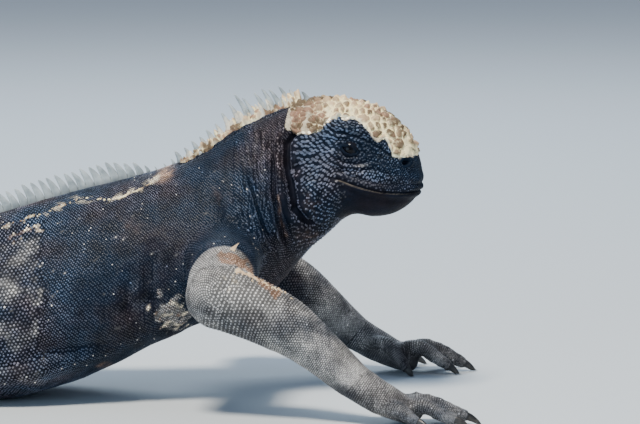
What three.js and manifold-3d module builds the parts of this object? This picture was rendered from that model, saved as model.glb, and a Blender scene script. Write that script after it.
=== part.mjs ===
// A life-size marine iguana lying on its belly, chest propped up on its forelegs.
// Millimetres, +Z up, +X towards the snout, +Y towards the animal's left side.
// The flesh is lofted from a few named sections. Neighbouring parts meet face to
// face with a thin gap, and everything that touches the ground is flat at z = 0.

import * as THREE from "three";
import { LoftGeometry } from "three/addons/geometries/LoftGeometry.js";
import { mergeVertices } from "three/addons/utils/BufferGeometryUtils.js";
import Module from "manifold-3d";

const wasm = await Module();
wasm.setup();

const gap = 0.3;
const floorHeight = 0;

// Places along the body's axis, counted forwards from the shoulder.
const snoutTip = 136;
const headBack = 51;
const neckBack = 14;
const vent = -290;
const tailTip = -860;
const tailCuts = [-400, -520, -660];

const eyeRadius = 6.8;
const eyePlace = { along: 93, height: 161.5 };
const lidThickness = 1.1;
const mouthCorner = 83;
const nostrilPlace = { along: 127.5, height: 153 };
const earPlace = { along: 58.5, height: 149 };

// Each row: place along the axis, half width, height of the crown, of the widest
// level and of the underside, then how full the upper and lower halves are, where
// 2 is an ellipse, less is a roof and more is a box.
const bodySections = [
  [-860, 1.0, 4.0, 1.6, -0.4, 2.0, 2.0],
  [-835, 2.2, 6.6, 2.6, -0.7, 1.9, 2.1],
  [-760, 4.0, 12, 5, -0.9, 1.8, 2.2],
  [-640, 6.5, 20, 8, -1.1, 1.7, 2.2],
  [-520, 9.5, 30, 12, -1.3, 1.7, 2.2],
  [-400, 14, 43, 17, -1.5, 1.8, 2.3],
  [-330, 21, 56, 22, -1.5, 1.9, 2.3],
  [-290, 30, 67, 28, -1.5, 1.9, 2.4],
  [-250, 43, 82, 35, -1.5, 1.9, 2.6],
  [-190, 57, 101, 42, -1.5, 1.9, 2.7],
  [-136, 64, 117, 48, -1.0, 1.85, 2.6],
  [-91, 64, 130, 57, 9, 1.8, 2.4],
  [-58, 61, 138.5, 66, 23, 1.8, 2.3],
  [-35, 58, 144.5, 74, 35, 1.8, 2.3],
  [-15, 53, 152, 84, 44, 1.75, 2.2],
  [0, 49, 161, 93, 49, 1.7, 2.1],
  [19, 43, 173, 106, 54, 1.75, 2.0],
  [32, 40, 179.5, 117, 62, 1.85, 1.95],
  [45, 37, 184.5, 127, 74, 1.95, 1.9],
  [56, 35, 187.5, 134, 87, 2.1, 1.9],
  [64, 34, 189.5, 137, 96, 2.2, 1.9],
  [75, 33, 190.5, 138, 105.5, 2.25, 2.0],
  [85, 31.5, 190, 139, 114.5, 2.3, 2.1],
  [95, 29.5, 188.5, 140, 118, 2.3, 2.2],
  [105, 27, 185.5, 140, 116.5, 2.3, 2.2],
  [115, 24, 180, 140, 118, 2.3, 2.2],
  [120, 22, 175.5, 140, 120, 2.3, 2.2],
  [125.5, 19, 169.5, 140, 123, 2.3, 2.2],
  [130.5, 14.5, 160.5, 140, 127.5, 2.3, 2.2],
  [134, 9, 151, 140, 131.5, 2.2, 2.2],
  [136, 0.6, 141, 140, 139, 2, 2],
];

// Heading of the body's axis in degrees, turned left of +X, against the place along it.
const bodyHeading = [
  [-860, -4],
  [-700, -20],
  [-560, -28],
  [-430, -15],
  [-330, -4],
  [-250, 0],
  [15, 0],
  [48, -10],
  [140, -10],
];

// Soft swellings and hollows, mirrored on both sides: centre, reach and push.
const headForms = [
  { at: [94, 26, 175], reach: [15, 7, 5], push: [0, 3.2, 0.8] },
  { at: [94, 30, 162], reach: [14, 10, 8], push: [0, -3.2, 0] },
  { at: [93, 29, 161.5], reach: [8.5, 9, 6], push: [0, 4.2, 0] },
  { at: [70, 31, 128], reach: [13, 12, 15], push: [0, 3.0, -1] },
  { at: [66, 28, 166], reach: [9, 10, 10], push: [0, 2, 0] },
  { at: [109, 25, 157], reach: [7, 8, 7], push: [0, -1.6, 0] },
  { at: [127, 15, 153.5], reach: [6, 7, 5], push: [0.8, 1.2, 0.5] },
  { at: [106, 27, 138], reach: [16, 9, 5], push: [0, 1.6, 0] },
];
const trunkForms = [
  { at: [-105, 60, 20], reach: [45, 14, 9], push: [0, 5, -1] },
  { at: [-100, 66, 38], reach: [45, 14, 7], push: [0, -3, 0] },
  { at: [-6, 45, 95], reach: [26, 16, 26], push: [0, 6, 0] },
  { at: [-48, 60, 62], reach: [20, 14, 30], push: [0, -4, 0] },
  { at: [-252, 38, 52], reach: [26, 16, 24], push: [0, 5, 0] },
  { at: [42, 36, 100], reach: [8, 14, 20], push: [0, 3, 0] },
];

// The line of the mouth in side view, from the throat up to its corner and on to the snout.
const mouthLine = [
  [58, 84],
  [67, 108],
  [75, 128],
  [81, 140],
  [86, 142.5],
  [95, 139.6],
  [105, 136.6],
  [118, 134.4],
  [145, 133.8],
];

// A smooth curve through rows of [place, value, value...] that never overshoots them.
function throughRows(rows) {
  const places = rows.map((row) => row[0]);
  const columns = rows[0].length - 1;
  const slopes = rows.map(() => []);
  for (let c = 1; c <= columns; c++) {
    const rises = rows
      .slice(1)
      .map((row, i) => (row[c] - rows[i][c]) / (places[i + 1] - places[i]));
    rows.forEach((row, i) => {
      const before = rises[Math.max(i - 1, 0)];
      const after = rises[Math.min(i, rises.length - 1)];
      slopes[i][c] =
        before * after <= 0 ? 0 : (2 * before * after) / (before + after);
    });
  }
  return (place) => {
    const at = THREE.MathUtils.clamp(place, places[0], places.at(-1));
    let i = 0;
    while (i < places.length - 2 && at > places[i + 1]) i++;
    const span = places[i + 1] - places[i];
    const t = (at - places[i]) / span;
    const values = [];
    for (let c = 1; c <= columns; c++) {
      values.push(
        (2 * t ** 3 - 3 * t ** 2 + 1) * rows[i][c] +
          (t ** 3 - 2 * t ** 2 + t) * span * slopes[i][c] +
          (3 * t ** 2 - 2 * t ** 3) * rows[i + 1][c] +
          (t ** 3 - t ** 2) * span * slopes[i + 1][c],
      );
    }
    return values;
  };
}

const sectionAt = throughRows(bodySections);
const headingAt = throughRows(bodyHeading);

// The axis seen from above, walked in short steps both ways from the shoulder.
const walkStep = 2;
const walked = new Map([[0, new THREE.Vector2(0, 0)]]);
for (const way of [-1, 1]) {
  for (let along = 0; Math.abs(along) < 900; along += way * walkStep) {
    const heading = THREE.MathUtils.degToRad(
      headingAt(along + (way * walkStep) / 2)[0],
    );
    const next = walked
      .get(along)
      .clone()
      .add(
        new THREE.Vector2(Math.cos(heading), Math.sin(heading)).multiplyScalar(
          way * walkStep,
        ),
      );
    walked.set(along + way * walkStep, next);
  }
}

// Turns a point of the straightened body into its place in the posed body.
function posed(straight) {
  const low = Math.floor(straight.x / walkStep) * walkStep;
  const base = walked
    .get(low)
    .clone()
    .lerp(walked.get(low + walkStep), (straight.x - low) / walkStep);
  const heading = THREE.MathUtils.degToRad(headingAt(straight.x)[0]);
  return new THREE.Vector3(
    base.x - straight.y * Math.sin(heading),
    base.y + straight.y * Math.cos(heading),
    straight.z,
  );
}

function shapedBy(forms, point) {
  const moved = point.clone();
  for (const { at, reach, push } of forms) {
    for (const side of [-1, 1]) {
      const far =
        ((point.x - at[0]) / reach[0]) ** 2 +
        ((point.y - side * at[1]) / reach[1]) ** 2 +
        ((point.z - at[2]) / reach[2]) ** 2;
      const share = Math.exp(-far);
      moved.x += push[0] * share;
      moved.y += side * push[1] * share;
      moved.z += push[2] * share;
    }
  }
  return moved;
}

// A point on the straightened body's surface. The angle runs from its left side over the back.
function onBody(along, angle, grown = 0) {
  const [width, crown, widest, underside, upper, lower] = sectionAt(along);
  const [c, s] = [Math.cos(angle), Math.sin(angle)];
  const fullness = s >= 0 ? upper : lower;
  const rise = s >= 0 ? crown - widest : widest - underside;
  const rounded = (value) =>
    Math.sign(value) * Math.abs(value) ** (2 / fullness);
  const point = new THREE.Vector3(
    along,
    (width + grown) * rounded(c),
    widest + (rise + grown) * rounded(s),
  );
  return shapedBy(along > headBack ? headForms : trunkForms, point);
}

function closed(geometry) {
  const bare = new THREE.BufferGeometry()
    .setAttribute("position", geometry.attributes.position)
    .setIndex(geometry.index);
  const merged = mergeVertices(bare, 1e-4);
  const kept = [];
  const index = merged.index.array;
  for (let i = 0; i < index.length; i += 3) {
    const [a, b, c] = index.slice(i, i + 3);
    if (a !== b && b !== c && a !== c) kept.push(a, b, c);
  }
  const made = (order) =>
    new wasm.Manifold(
      new wasm.Mesh({
        numProp: 3,
        vertProperties: merged.attributes.position.array,
        triVerts: new Uint32Array(order),
      }),
    );
  const solid = made(kept);
  return solid.volume() > 0 ? solid : made(kept.reverse());
}

const capped = { capStart: true, capEnd: true };

function bodyLength(from, to, around, places, { grown = 0, pose = posed } = {}) {
  const sections = places.map((share) => {
    const along = THREE.MathUtils.lerp(from, to, share);
    return Array.from({ length: around }, (_, i) =>
      pose(onBody(along, (2 * Math.PI * i) / around, grown)),
    );
  });
  return closed(new LoftGeometry(sections, capped));
}

// The angle round the head's section at which its side has a given height.
function angleAtHeight(along, height) {
  let [low, high] = [-Math.PI / 2, Math.PI / 2];
  for (let i = 0; i < 30; i++) {
    const middle = (low + high) / 2;
    if (onBody(along, middle).z < height) low = middle;
    else high = middle;
  }
  return low;
}

// Heights of the mouth's line at a place along the head.
const mouthHeight = throughRows(mouthLine.slice(3));
const lipEnd = 132;
const lipRoll = 3.2;
const lipSwell = 1.3;

// The head's sections have one point on the mouth's line and one on each lip on either side.
function headSection(along, around) {
  const points = Array.from({ length: around }, (_, i) =>
    onBody(along, (2 * Math.PI * i) / around),
  );
  const line = mouthHeight(along)[0];
  const shown =
    THREE.MathUtils.smoothstep(along, mouthCorner, mouthCorner + 8) *
    (1 - THREE.MathUtils.smoothstep(along, lipEnd - 4, lipEnd));
  const rows = [
    [1, line + lipRoll, lipSwell],
    [2, line, -lipSwell * 0.4],
    [3, line - lipRoll, lipSwell * 0.8],
  ];
  for (const [below, height, swell] of rows) {
    const snapped = onBody(along, angleAtHeight(along, height));
    snapped.y += swell;
    snapped.x += swell * THREE.MathUtils.smoothstep(along, lipEnd - 14, lipEnd);
    for (const [i, side] of [[around - below, 1], [around / 2 + below, -1]]) {
      const place = snapped.clone().setY(side * snapped.y);
      points[i].lerp(place, shown);
    }
  }
  return points;
}

function evenly(count) {
  return Array.from({ length: count + 1 }, (_, i) => i / count);
}

function easedToEnd(count) {
  return evenly(count).map((share) => Math.sin((share * Math.PI) / 2));
}

// A tapering limb along a curve. Each row of girths: share of the length, half width, half height.
function limb(points, girths, around, count) {
  const curve = new THREE.CatmullRomCurve3(
    points.map((p) => new THREE.Vector3(...p)),
  );
  const girthAt = throughRows(girths);
  const up = new THREE.Vector3(0, 0, 1);
  const sections = evenly(count).map((share) => {
    const centre = curve.getPoint(share);
    const forward = curve.getTangent(share);
    const across = new THREE.Vector3().crossVectors(up, forward).normalize();
    const over = new THREE.Vector3().crossVectors(forward, across);
    const [halfWidth, halfHeight] = girthAt(share);
    return Array.from({ length: around }, (_, i) => {
      const angle = (2 * Math.PI * i) / around;
      return centre
        .clone()
        .addScaledVector(across, halfWidth * Math.cos(angle))
        .addScaledVector(over, halfHeight * Math.sin(angle));
    });
  });
  return closed(new LoftGeometry(sections, capped));
}

function joined(solids) {
  return wasm.Manifold.union(solids);
}

function largest(solid) {
  return solid.decompose().reduce((a, b) => (b.volume() > a.volume() ? b : a));
}

function onFloor(solid) {
  return solid.trimByPlane([0, 0, 1], floorHeight);
}

// What lies beyond a place in a direction, half a gap short of it.
function beyond(solid, place, direction) {
  const normal = direction.clone().normalize();
  const kept = solid.trimByPlane(normal.toArray(), normal.dot(place) + gap / 2);
  return largest(kept);
}

function before(solid, place, direction) {
  return beyond(solid, place, direction.clone().negate());
}

const colours = {
  hide: { color: 0x35373b, roughness: 0.75 },
  foreleg: { color: 0x6b655c, roughness: 0.8 },
  crown: { color: 0xb7a184, roughness: 0.9 },
  claw: { color: 0x17181a, roughness: 0.35 },
  eye: { color: 0x120d0a, roughness: 0.08 },
};

function named(name, solid, look) {
  const { vertProperties, triVerts } = solid.getMesh();
  const geometry = new THREE.BufferGeometry()
    .setAttribute("position", new THREE.BufferAttribute(vertProperties, 3))
    .setIndex(new THREE.BufferAttribute(triVerts, 1));
  const mesh = new THREE.Mesh(
    geometry.toNonIndexed(),
    new THREE.MeshStandardMaterial({ metalness: 0, ...colours[look] }),
  );
  mesh.geometry.computeVertexNormals();
  mesh.name = name;
  return mesh;
}

const iguana = new THREE.Group();

// Height of the crest's spines above the back, against the place along the body.
const spineHeight = throughRows([
  [-860, 2.2],
  [-640, 5],
  [-430, 8],
  [-290, 10],
  [-136, 13],
  [-62, 12.5],
  [-46, 9],
  [-36, 3.5],
  [-26, 4.5],
  [-16, 9],
  [-4, 11],
  [8, 13],
  [18, 18],
  [36, 17],
  [46, 14],
  [60, 8],
]);
const spinePitch = 5.7;
const tailSpinePitch = 10.5;
const spineThickness = 1.7;
const spineSink = 3.5;
const spineLean = 0.62;

// A spine curves back from its root to a point, flattened from side to side.
function spine(along, tall, wide, pose = posed) {
  const crown = sectionAt(along)[1];
  const sections = [
    [-spineSink, 1],
    [tall * 0.45, 0.62],
    [tall, 0],
  ].map(([rise, share]) => {
    const up = Math.max(rise, 0) / tall;
    const back = along - spineLean * tall * up ** 1.5;
    const [w, t] = [(wide * share) / 2, (spineThickness * share) / 2];
    return [
      [w, 0],
      [0, t],
      [-w, 0],
      [0, -t],
    ].map(([x, y]) => pose(new THREE.Vector3(back + x, y, crown + rise)));
  });
  return closed(new LoftGeometry(sections, { capStart: true }));
}

// A row of spines from one place to another, uneven in height as grown ones are.
function spines(from, to, pitch) {
  const count = Math.floor((to - from) / pitch);
  return Array.from({ length: count }, (_, i) => {
    const along = from + (i + 0.5) * pitch;
    const uneven = 0.8 + 0.3 * THREE.MathUtils.seededRandom(1 + i * 7 - Math.round(from));
    return spine(along, spineHeight(along)[0] * uneven, Math.min(pitch, 6) * 0.66);
  });
}

// Trunk, neck and the lengths of the tail.
const half = gap / 2;
const trunkAround = 28;
const trunkStations = evenly(15);
const neckStations = evenly(5);
const tailStations = evenly(5);
const torsoFlesh = bodyLength(vent + half, neckBack - half, trunkAround, trunkStations);
const torsoSpines = spines(vent + 8, neckBack - 1, spinePitch);
iguana.add(named("torso", onFloor(joined([torsoFlesh, ...torsoSpines])), "hide"));
const neckFlesh = bodyLength(neckBack + half, headBack - half, trunkAround, neckStations);
const neckSpines = spines(neckBack, headBack, spinePitch);
iguana.add(named("neck", joined([neckFlesh, ...neckSpines]), "hide"));
const tailEnds = [vent, ...tailCuts, tailTip];
const tailAround = 12;
["tail_base", "tail_middle", "tail_end", "tail_tip"].forEach((name, i) => {
  const from = tailEnds[i + 1] + half;
  const to = tailEnds[i] - half;
  const flesh = bodyLength(from, to, tailAround, tailStations);
  const row = spines(Math.max(from, tailTip + 30) + 8, to - 1, tailSpinePitch);
  iguana.add(named(name, onFloor(joined([flesh, ...row])), "hide"));
});

// The head is modelled straight and turned as one with its group.
const headTurn = THREE.MathUtils.degToRad(headingAt(headBack)[0]);
const headGroup = new THREE.Group();
headGroup.rotation.z = headTurn;
headGroup.position.copy(
  posed(new THREE.Vector3(headBack, 0, 0)).sub(
    new THREE.Vector3(headBack, 0, 0).applyAxisAngle(
      new THREE.Vector3(0, 0, 1),
      headTurn,
    ),
  ),
);
iguana.add(headGroup);

function onCheek({ along, height }) {
  return onBody(along, angleAtHeight(along, height));
}

function ball(radius, centre, [x, y, z] = [1, 1, 1], tilt = 0) {
  const geometry = new THREE.SphereGeometry(radius, 11, 7)
    .scale(x, y, z)
    .rotateY(tilt)
    .translate(...centre);
  return closed(geometry);
}

function ring(radius, tube, centre, [x, z], tilt, turn) {
  const geometry = new THREE.TorusGeometry(radius, tube, 4, 12)
    .rotateX(Math.PI / 2)
    .scale(x, 1, z)
    .rotateY(tilt)
    .rotateZ(turn)
    .translate(...centre);
  return closed(geometry);
}

const eyeSurface = onCheek(eyePlace);
const eyeDepth = eyeRadius + lidThickness;
const headSections = easedToEnd(17).map((share) =>
  headSection(THREE.MathUtils.lerp(headBack + half, snoutTip - 0.2, share), 32),
);
const headWhole = closed(new LoftGeometry(headSections, capped));
const sides = { left: 1, right: -1 };
const raised = [];
const hollowed = [];
for (const side of Object.values(sides)) {
  const eyeCentre = [
    eyeSurface.x,
    side * (eyeSurface.y - eyeDepth),
    eyeSurface.z,
  ];
  const lidCentre = [eyeSurface.x, side * (eyeSurface.y - 0.7), eyeSurface.z];
  raised.push(ring(8.2, 1.5, lidCentre, [1.05, 0.5], 0.22, side * -0.12));
  hollowed.push(ball(eyeRadius + gap, eyeCentre));
  hollowed.push(
    ball(1, [eyeSurface.x, side * eyeSurface.y, eyeSurface.z], [7.2, 5, 2.9], 0.22),
  );
  const nostril = onCheek(nostrilPlace);
  raised.push(
    ring(2.6, 1, [nostril.x, side * nostril.y, nostril.z], [1, 0.8], 0, side * -0.75),
  );
  hollowed.push(
    ball(1, [nostril.x + 0.5, side * (nostril.y + 0.5), nostril.z], [2.1, 2.1, 1.6]),
  );
  const ear = onCheek(earPlace);
  hollowed.push(ball(1, [ear.x, side * (ear.y + 0.6), ear.z], [3, 2.6, 5.2]));
}

// The crown's horny tubercles grow above this height, given against the place along the head.
const crustEdge = throughRows([
  [51, 170],
  [66, 172],
  [73, 180],
  [98, 180],
  [105, 173],
  [113, 166],
  [120, 159],
  [136, 156],
]);
const tubercleSpacing = 8.4;
const tubercleRadius = 3.8;
const tubercleHeight = 2.4;

// A low blunt cone standing square on the head's skin.
function tubercle(along, angle, radius, tall) {
  const root = onBody(along, angle);
  const ahead = onBody(along + 1, angle).sub(root);
  const round = onBody(along, angle + 0.05).sub(root);
  const outwards = round.cross(ahead).normalize();
  const sink = 1.4;
  const turn = new THREE.Quaternion().setFromUnitVectors(
    new THREE.Vector3(0, 1, 0),
    outwards,
  );
  const centre = root.addScaledVector(outwards, (tall - sink) / 2);
  const spread = radius * (1 + sink / tall);
  const geometry = new THREE.ConeGeometry(spread, tall + sink, 5, 1)
    .applyQuaternion(turn)
    .translate(...centre);
  return closed(geometry);
}

const top = Math.PI / 2;
const tubercles = [];
for (let along = headBack + 8, row = 0; along < 131; row++) {
  const turn = 0.5;
  const over = onBody(along, top).distanceTo(onBody(along, top + turn));
  const step = (turn * tubercleSpacing) / over;
  for (let i = -9; i <= 9; i++) {
    const angle = top + (i + (row % 2) / 2) * step;
    const seed = 5 + row * 31 + i;
    const tall = tubercleHeight * (0.8 + 0.4 * THREE.MathUtils.seededRandom(seed));
    const high = onBody(along, angle).z > crustEdge(along)[0];
    if (high) tubercles.push(tubercle(along, angle, tubercleRadius, tall));
  }
  // The rows draw together where the snout falls away steeply.
  const rowPitch = tubercleSpacing * (along < 105 ? 0.87 : 0.7);
  along += rowPitch;
}

const mouthCurve = new THREE.SplineCurve(
  mouthLine.map(([along, height]) => new THREE.Vector2(along, height)),
);
function belowMouth(lift) {
  const shape = new THREE.Shape([
    ...mouthCurve
      .getPoints(11)
      .map(({ x, y }) => new THREE.Vector2(x - lift * 0.7, y + lift)),
    new THREE.Vector2(150, 60),
    new THREE.Vector2(50, 60),
  ]);
  const depth = 100;
  const geometry = new THREE.ExtrudeGeometry(shape, {
    depth,
    bevelEnabled: false,
  })
    .translate(0, 0, -depth / 2)
    .rotateX(Math.PI / 2);
  return closed(geometry);
}

const headSpines = [headBack + 3.5, headBack + 9].map((along) =>
  spine(along, spineHeight(along)[0], 3.4, (point) => point),
);
const headShaped = joined([headWhole, ...raised, ...tubercles, ...headSpines]).subtract(
  joined(hollowed),
);
headGroup.add(
  named("head", largest(headShaped.subtract(belowMouth(gap * 1.6))), "crown"),
);
headGroup.add(
  named("lower_jaw", largest(headShaped.intersect(belowMouth(0))), "hide"),
);
for (const [name, side] of Object.entries(sides)) {
  headGroup.add(
    named(
      "eye_" + name,
      ball(eyeRadius, [
        eyeSurface.x,
        side * (eyeSurface.y - eyeDepth),
        eyeSurface.z,
      ]),
      "eye",
    ),
  );
}

// A foot: its palm, five toes fanned from it, and a claw on each.
const clawLength = 13;
const clawRadius = 2.9;
const clawCurl = 0.6;

function clawAt(end, forward, curl) {
  const across = new THREE.Vector3(0, 0, 1).cross(forward).normalize();
  const over = new THREE.Vector3().crossVectors(forward, across);
  const steps = 4;
  const sections = Array.from({ length: steps + 1 }, (_, i) => {
    const share = i / steps;
    const bend = curl * share;
    const radius = clawRadius * (1 - share * 0.93);
    const reach = (clawLength * Math.sin(bend)) / curl;
    const drop = (clawLength * (1 - Math.cos(bend))) / curl;
    const centre = end
      .clone()
      .addScaledVector(forward, reach + gap)
      .addScaledVector(over, -drop);
    const along = forward
      .clone()
      .multiplyScalar(Math.cos(bend))
      .addScaledVector(over, -Math.sin(bend));
    const lift = new THREE.Vector3().crossVectors(along, across);
    return Array.from({ length: 5 }, (_, k) => {
      const angle = (2 * Math.PI * k) / 5;
      return centre
        .clone()
        .addScaledVector(across, 0.75 * radius * Math.cos(angle))
        .addScaledVector(lift, radius * Math.sin(angle));
    });
  });
  return closed(new LoftGeometry(sections, capped));
}

// toes: [root x, y and z, heading in degrees left of +X, length, arch height, root radius]
function footParts(toes) {
  return toes.map(([x, y, z, heading, length, arch, radius]) => {
    const turn = THREE.MathUtils.degToRad(heading);
    const way = new THREE.Vector3(Math.cos(turn), Math.sin(turn), 0);
    const point = (share, height) => [
      x + way.x * length * share,
      y + way.y * length * share,
      height,
    ];
    const curve = [
      point(-0.3, z),
      point(0.08, Math.max(z, arch * 0.9)),
      point(0.42, arch),
      point(0.74, arch * 0.62),
      point(1, 4.6),
    ];
    const toe = limb(
      curve,
      [
        [0, radius, radius],
        [0.5, radius * 0.86, radius * 0.9],
        [0.8, radius * 0.78, radius * 0.8],
        [1, radius * 0.6, radius * 0.72],
      ],
      6,
      6,
    );
    const end = new THREE.Vector3(...point(1, 4.6));
    const drop = new THREE.Vector3(...point(0.74, arch * 0.62));
    const forward = end.clone().sub(drop).normalize();
    return { toe, claw: clawAt(end, forward, clawCurl) };
  });
}

// One leg: upper and lower lengths, the foot, and the claws, cut apart at its joints.
function addLeg(names, leg, trunk) {
  const [upperName, lowerName, footName] = names;
  const upper = limb(leg.upper.points, leg.upper.girths, 11, 4);
  const lower = limb(leg.lower.points, leg.lower.girths, 11, 5);
  const sole = limb(leg.sole.points, leg.sole.girths, 9, 4);
  const bend = new THREE.Vector3(...leg.upper.points.at(-1));
  const knee = ball(1, bend.toArray(), leg.bendRadii);
  const into = bend.clone().sub(new THREE.Vector3(...leg.upper.points.at(-2)));
  const out = new THREE.Vector3(...leg.lower.points[1]).sub(bend);
  const bendWay = into.normalize().add(out.normalize());
  const whole = joined([upper, knee, lower]);
  const ankle = new THREE.Vector3(...leg.lower.points.at(-1));
  const ankleWay = new THREE.Vector3(...leg.footWay);
  const lowerPart = before(beyond(whole, bend, bendWay), ankle, ankleWay);
  const toes = footParts(leg.toes);
  const foot = joined([sole, ...toes.map(({ toe }) => toe)]);
  const footPart = beyond(foot, ankle, ankleWay);
  iguana.add(
    named(
      upperName,
      largest(onFloor(before(whole, bend, bendWay).subtract(trunk))),
      leg.look,
    ),
  );
  iguana.add(named(lowerName, largest(onFloor(lowerPart)), leg.look));
  iguana.add(named(footName, largest(onFloor(footPart)), leg.look));
  toes.forEach(({ claw }, i) => {
    iguana.add(
      named(footName + "_claw_" + (i + 1), largest(onFloor(claw)), "claw"),
    );
  });
}

// The trunk grown by a little more than the gap, taken out of the legs where they meet it.
const grown = gap * 1.4;
const trunkGrown = joined([
  bodyLength(vent + half, neckBack - half, trunkAround, trunkStations, { grown }),
  bodyLength(neckBack + half, headBack - half, trunkAround, neckStations, { grown }),
  bodyLength(tailCuts[0] + half, vent - half, tailAround, tailStations, { grown }),
  bodyLength(vent - 2, vent + 2, trunkAround, evenly(1), { grown }),
  bodyLength(neckBack - 2, neckBack + 2, trunkAround, evenly(1), { grown }),
  bodyLength(headBack - 2, headBack + 16, trunkAround, evenly(3), { grown: grown * 2 }),
]);

const foreGirths = {
  upper: [
    [0, 25, 27],
    [0.5, 25, 26],
    [1, 20, 21],
  ],
  lower: [
    [0, 19, 20.5],
    [0.35, 17.5, 18],
    [0.6, 15, 15],
    [0.8, 13.5, 13],
    [1, 12.5, 11.5],
  ],
  sole: [
    [0, 12.5, 11.5],
    [0.4, 13, 10.5],
    [0.75, 14, 9],
    [1, 12.5, 7.4],
  ],
};
const hindGirths = {
  upper: [
    [0, 27, 28],
    [0.5, 24, 24],
    [1, 16, 17],
  ],
  lower: [
    [0, 15.5, 16],
    [0.35, 15, 15.5],
    [0.75, 9.5, 10.5],
    [1, 9, 8.5],
  ],
  sole: [
    [0, 9, 8.5],
    [0.5, 12, 8],
    [1, 14.5, 6],
  ],
};

addLeg(
  ["upper_arm_right", "forearm_right", "hand_right"],
  {
    look: "foreleg",
    bendRadii: [20.5, 20, 21.5],
    footWay: [0.79, -0.15, -0.6],
    upper: {
      points: [
        [8, -18, 92],
        [10, -58, 91],
        [6, -95, 77],
      ],
      girths: foreGirths.upper,
    },
    lower: {
      points: [
        [6, -95, 77],
        [37, -101, 64.5],
        [57, -105, 53],
        [74, -109, 39.5],
        [91, -112, 25],
      ],
      girths: foreGirths.lower,
    },
    sole: {
      points: [
        [86, -111, 29],
        [99, -114, 20],
        [113, -116, 12.5],
        [125, -117, 7],
      ],
      girths: foreGirths.sole,
    },
    toes: [
      [99, -104, 19, 22, 25, 19, 5],
      [118, -110, 11, 9, 33, 13, 5.4],
      [122, -117, 9, -3, 38, 13, 5.6],
      [119, -123, 9, -15, 35, 12, 5.4],
      [108, -126, 12, -36, 27, 11, 5],
    ],
  },
  trunkGrown,
);
addLeg(
  ["upper_arm_left", "forearm_left", "hand_left"],
  {
    look: "foreleg",
    bendRadii: [19, 20, 21],
    footWay: [0.79, 0.05, -0.6],
    upper: {
      points: [
        [10, 18, 92],
        [14, 58, 91],
        [12, 94, 76],
      ],
      girths: foreGirths.upper,
    },
    lower: {
      points: [
        [12, 94, 76],
        [44, 96, 61],
        [62, 96, 50],
        [78, 95, 37],
        [92, 94, 25],
      ],
      girths: foreGirths.lower,
    },
    sole: {
      points: [
        [87, 94.4, 29],
        [101, 93, 20],
        [116, 92, 12.5],
        [127, 92, 7],
      ],
      girths: foreGirths.sole,
    },
    toes: [
      [102, 82, 19, -22, 26, 21, 5],
      [120, 86, 11, -9, 35, 17, 5.4],
      [125, 92, 9, 3, 40, 16, 5.6],
      [121, 99, 9, 15, 36, 14, 5.4],
      [111, 102, 12, 36, 28, 12, 5],
    ],
  },
  trunkGrown,
);
addLeg(
  ["thigh_right", "shin_right", "foot_right"],
  {
    look: "hide",
    bendRadii: [17, 16, 17],
    footWay: [0.1, -0.75, -0.65],
    upper: {
      points: [
        [-258, -12, 50],
        [-240, -52, 49],
        [-206, -96, 38],
      ],
      girths: hindGirths.upper,
    },
    lower: {
      points: [
        [-206, -96, 38],
        [-234, -115, 29],
        [-268, -130, 16],
      ],
      girths: hindGirths.lower,
    },
    sole: {
      points: [
        [-262, -128, 18],
        [-258, -137, 10],
        [-232, -146, 6.5],
      ],
      girths: hindGirths.sole,
    },
    toes: [
      [-244, -133, 9, 12, 20, 10, 4.4],
      [-236, -138, 8, 0, 30, 11, 4.8],
      [-232, -144, 7, -12, 42, 11.5, 5],
      [-233, -151, 7, -22, 54, 11.5, 5],
      [-246, -153, 8, -46, 34, 10, 4.6],
    ],
  },
  trunkGrown,
);
addLeg(
  ["thigh_left", "shin_left", "foot_left"],
  {
    look: "hide",
    bendRadii: [17, 16, 17],
    footWay: [0.1, 0.75, -0.65],
    upper: {
      points: [
        [-262, 12, 50],
        [-256, 54, 49],
        [-240, 100, 36],
      ],
      girths: hindGirths.upper,
    },
    lower: {
      points: [
        [-240, 100, 36],
        [-272, 114, 28],
        [-310, 126, 16],
      ],
      girths: hindGirths.lower,
    },
    sole: {
      points: [
        [-304, 124, 18],
        [-300, 134, 10],
        [-276, 144, 6.5],
      ],
      girths: hindGirths.sole,
    },
    toes: [
      [-288, 131, 9, -10, 20, 10, 4.4],
      [-280, 136, 8, 2, 30, 11, 4.8],
      [-276, 142, 7, 14, 42, 11.5, 5],
      [-277, 149, 7, 25, 54, 11.5, 5],
      [-290, 151, 8, 50, 34, 10, 4.6],
    ],
  },
  trunkGrown,
);

// The origin is on the floor under the middle of the whole animal's box.
iguana.updateMatrixWorld(true);
const middle = new THREE.Box3()
  .setFromObject(iguana, true)
  .getCenter(new THREE.Vector3());
iguana.position.set(-middle.x, -middle.y, 0);

export default iguana;
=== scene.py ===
"""The looks of a life-size marine iguana that lies with its chest propped up on its forelegs.

The shapes are worked out in millimetres along a straightened body, where x runs from
the tail to the snout, and are then bent along the body's real path and set in metres.
"""

import math
from functools import partial

import bmesh
import bpy
import numpy as np
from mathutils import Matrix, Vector, noise
from mathutils.bvhtree import BVHTree
from mathutils.kdtree import KDTree


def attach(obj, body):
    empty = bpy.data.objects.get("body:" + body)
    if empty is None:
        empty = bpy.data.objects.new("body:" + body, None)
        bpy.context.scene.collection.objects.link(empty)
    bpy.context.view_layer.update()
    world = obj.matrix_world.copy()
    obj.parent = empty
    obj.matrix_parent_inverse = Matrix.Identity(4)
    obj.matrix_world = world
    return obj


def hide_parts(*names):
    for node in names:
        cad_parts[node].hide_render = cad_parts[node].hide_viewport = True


MM = 0.001
ORIGIN = np.array([329.123, -0.058, 0.0])

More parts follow.
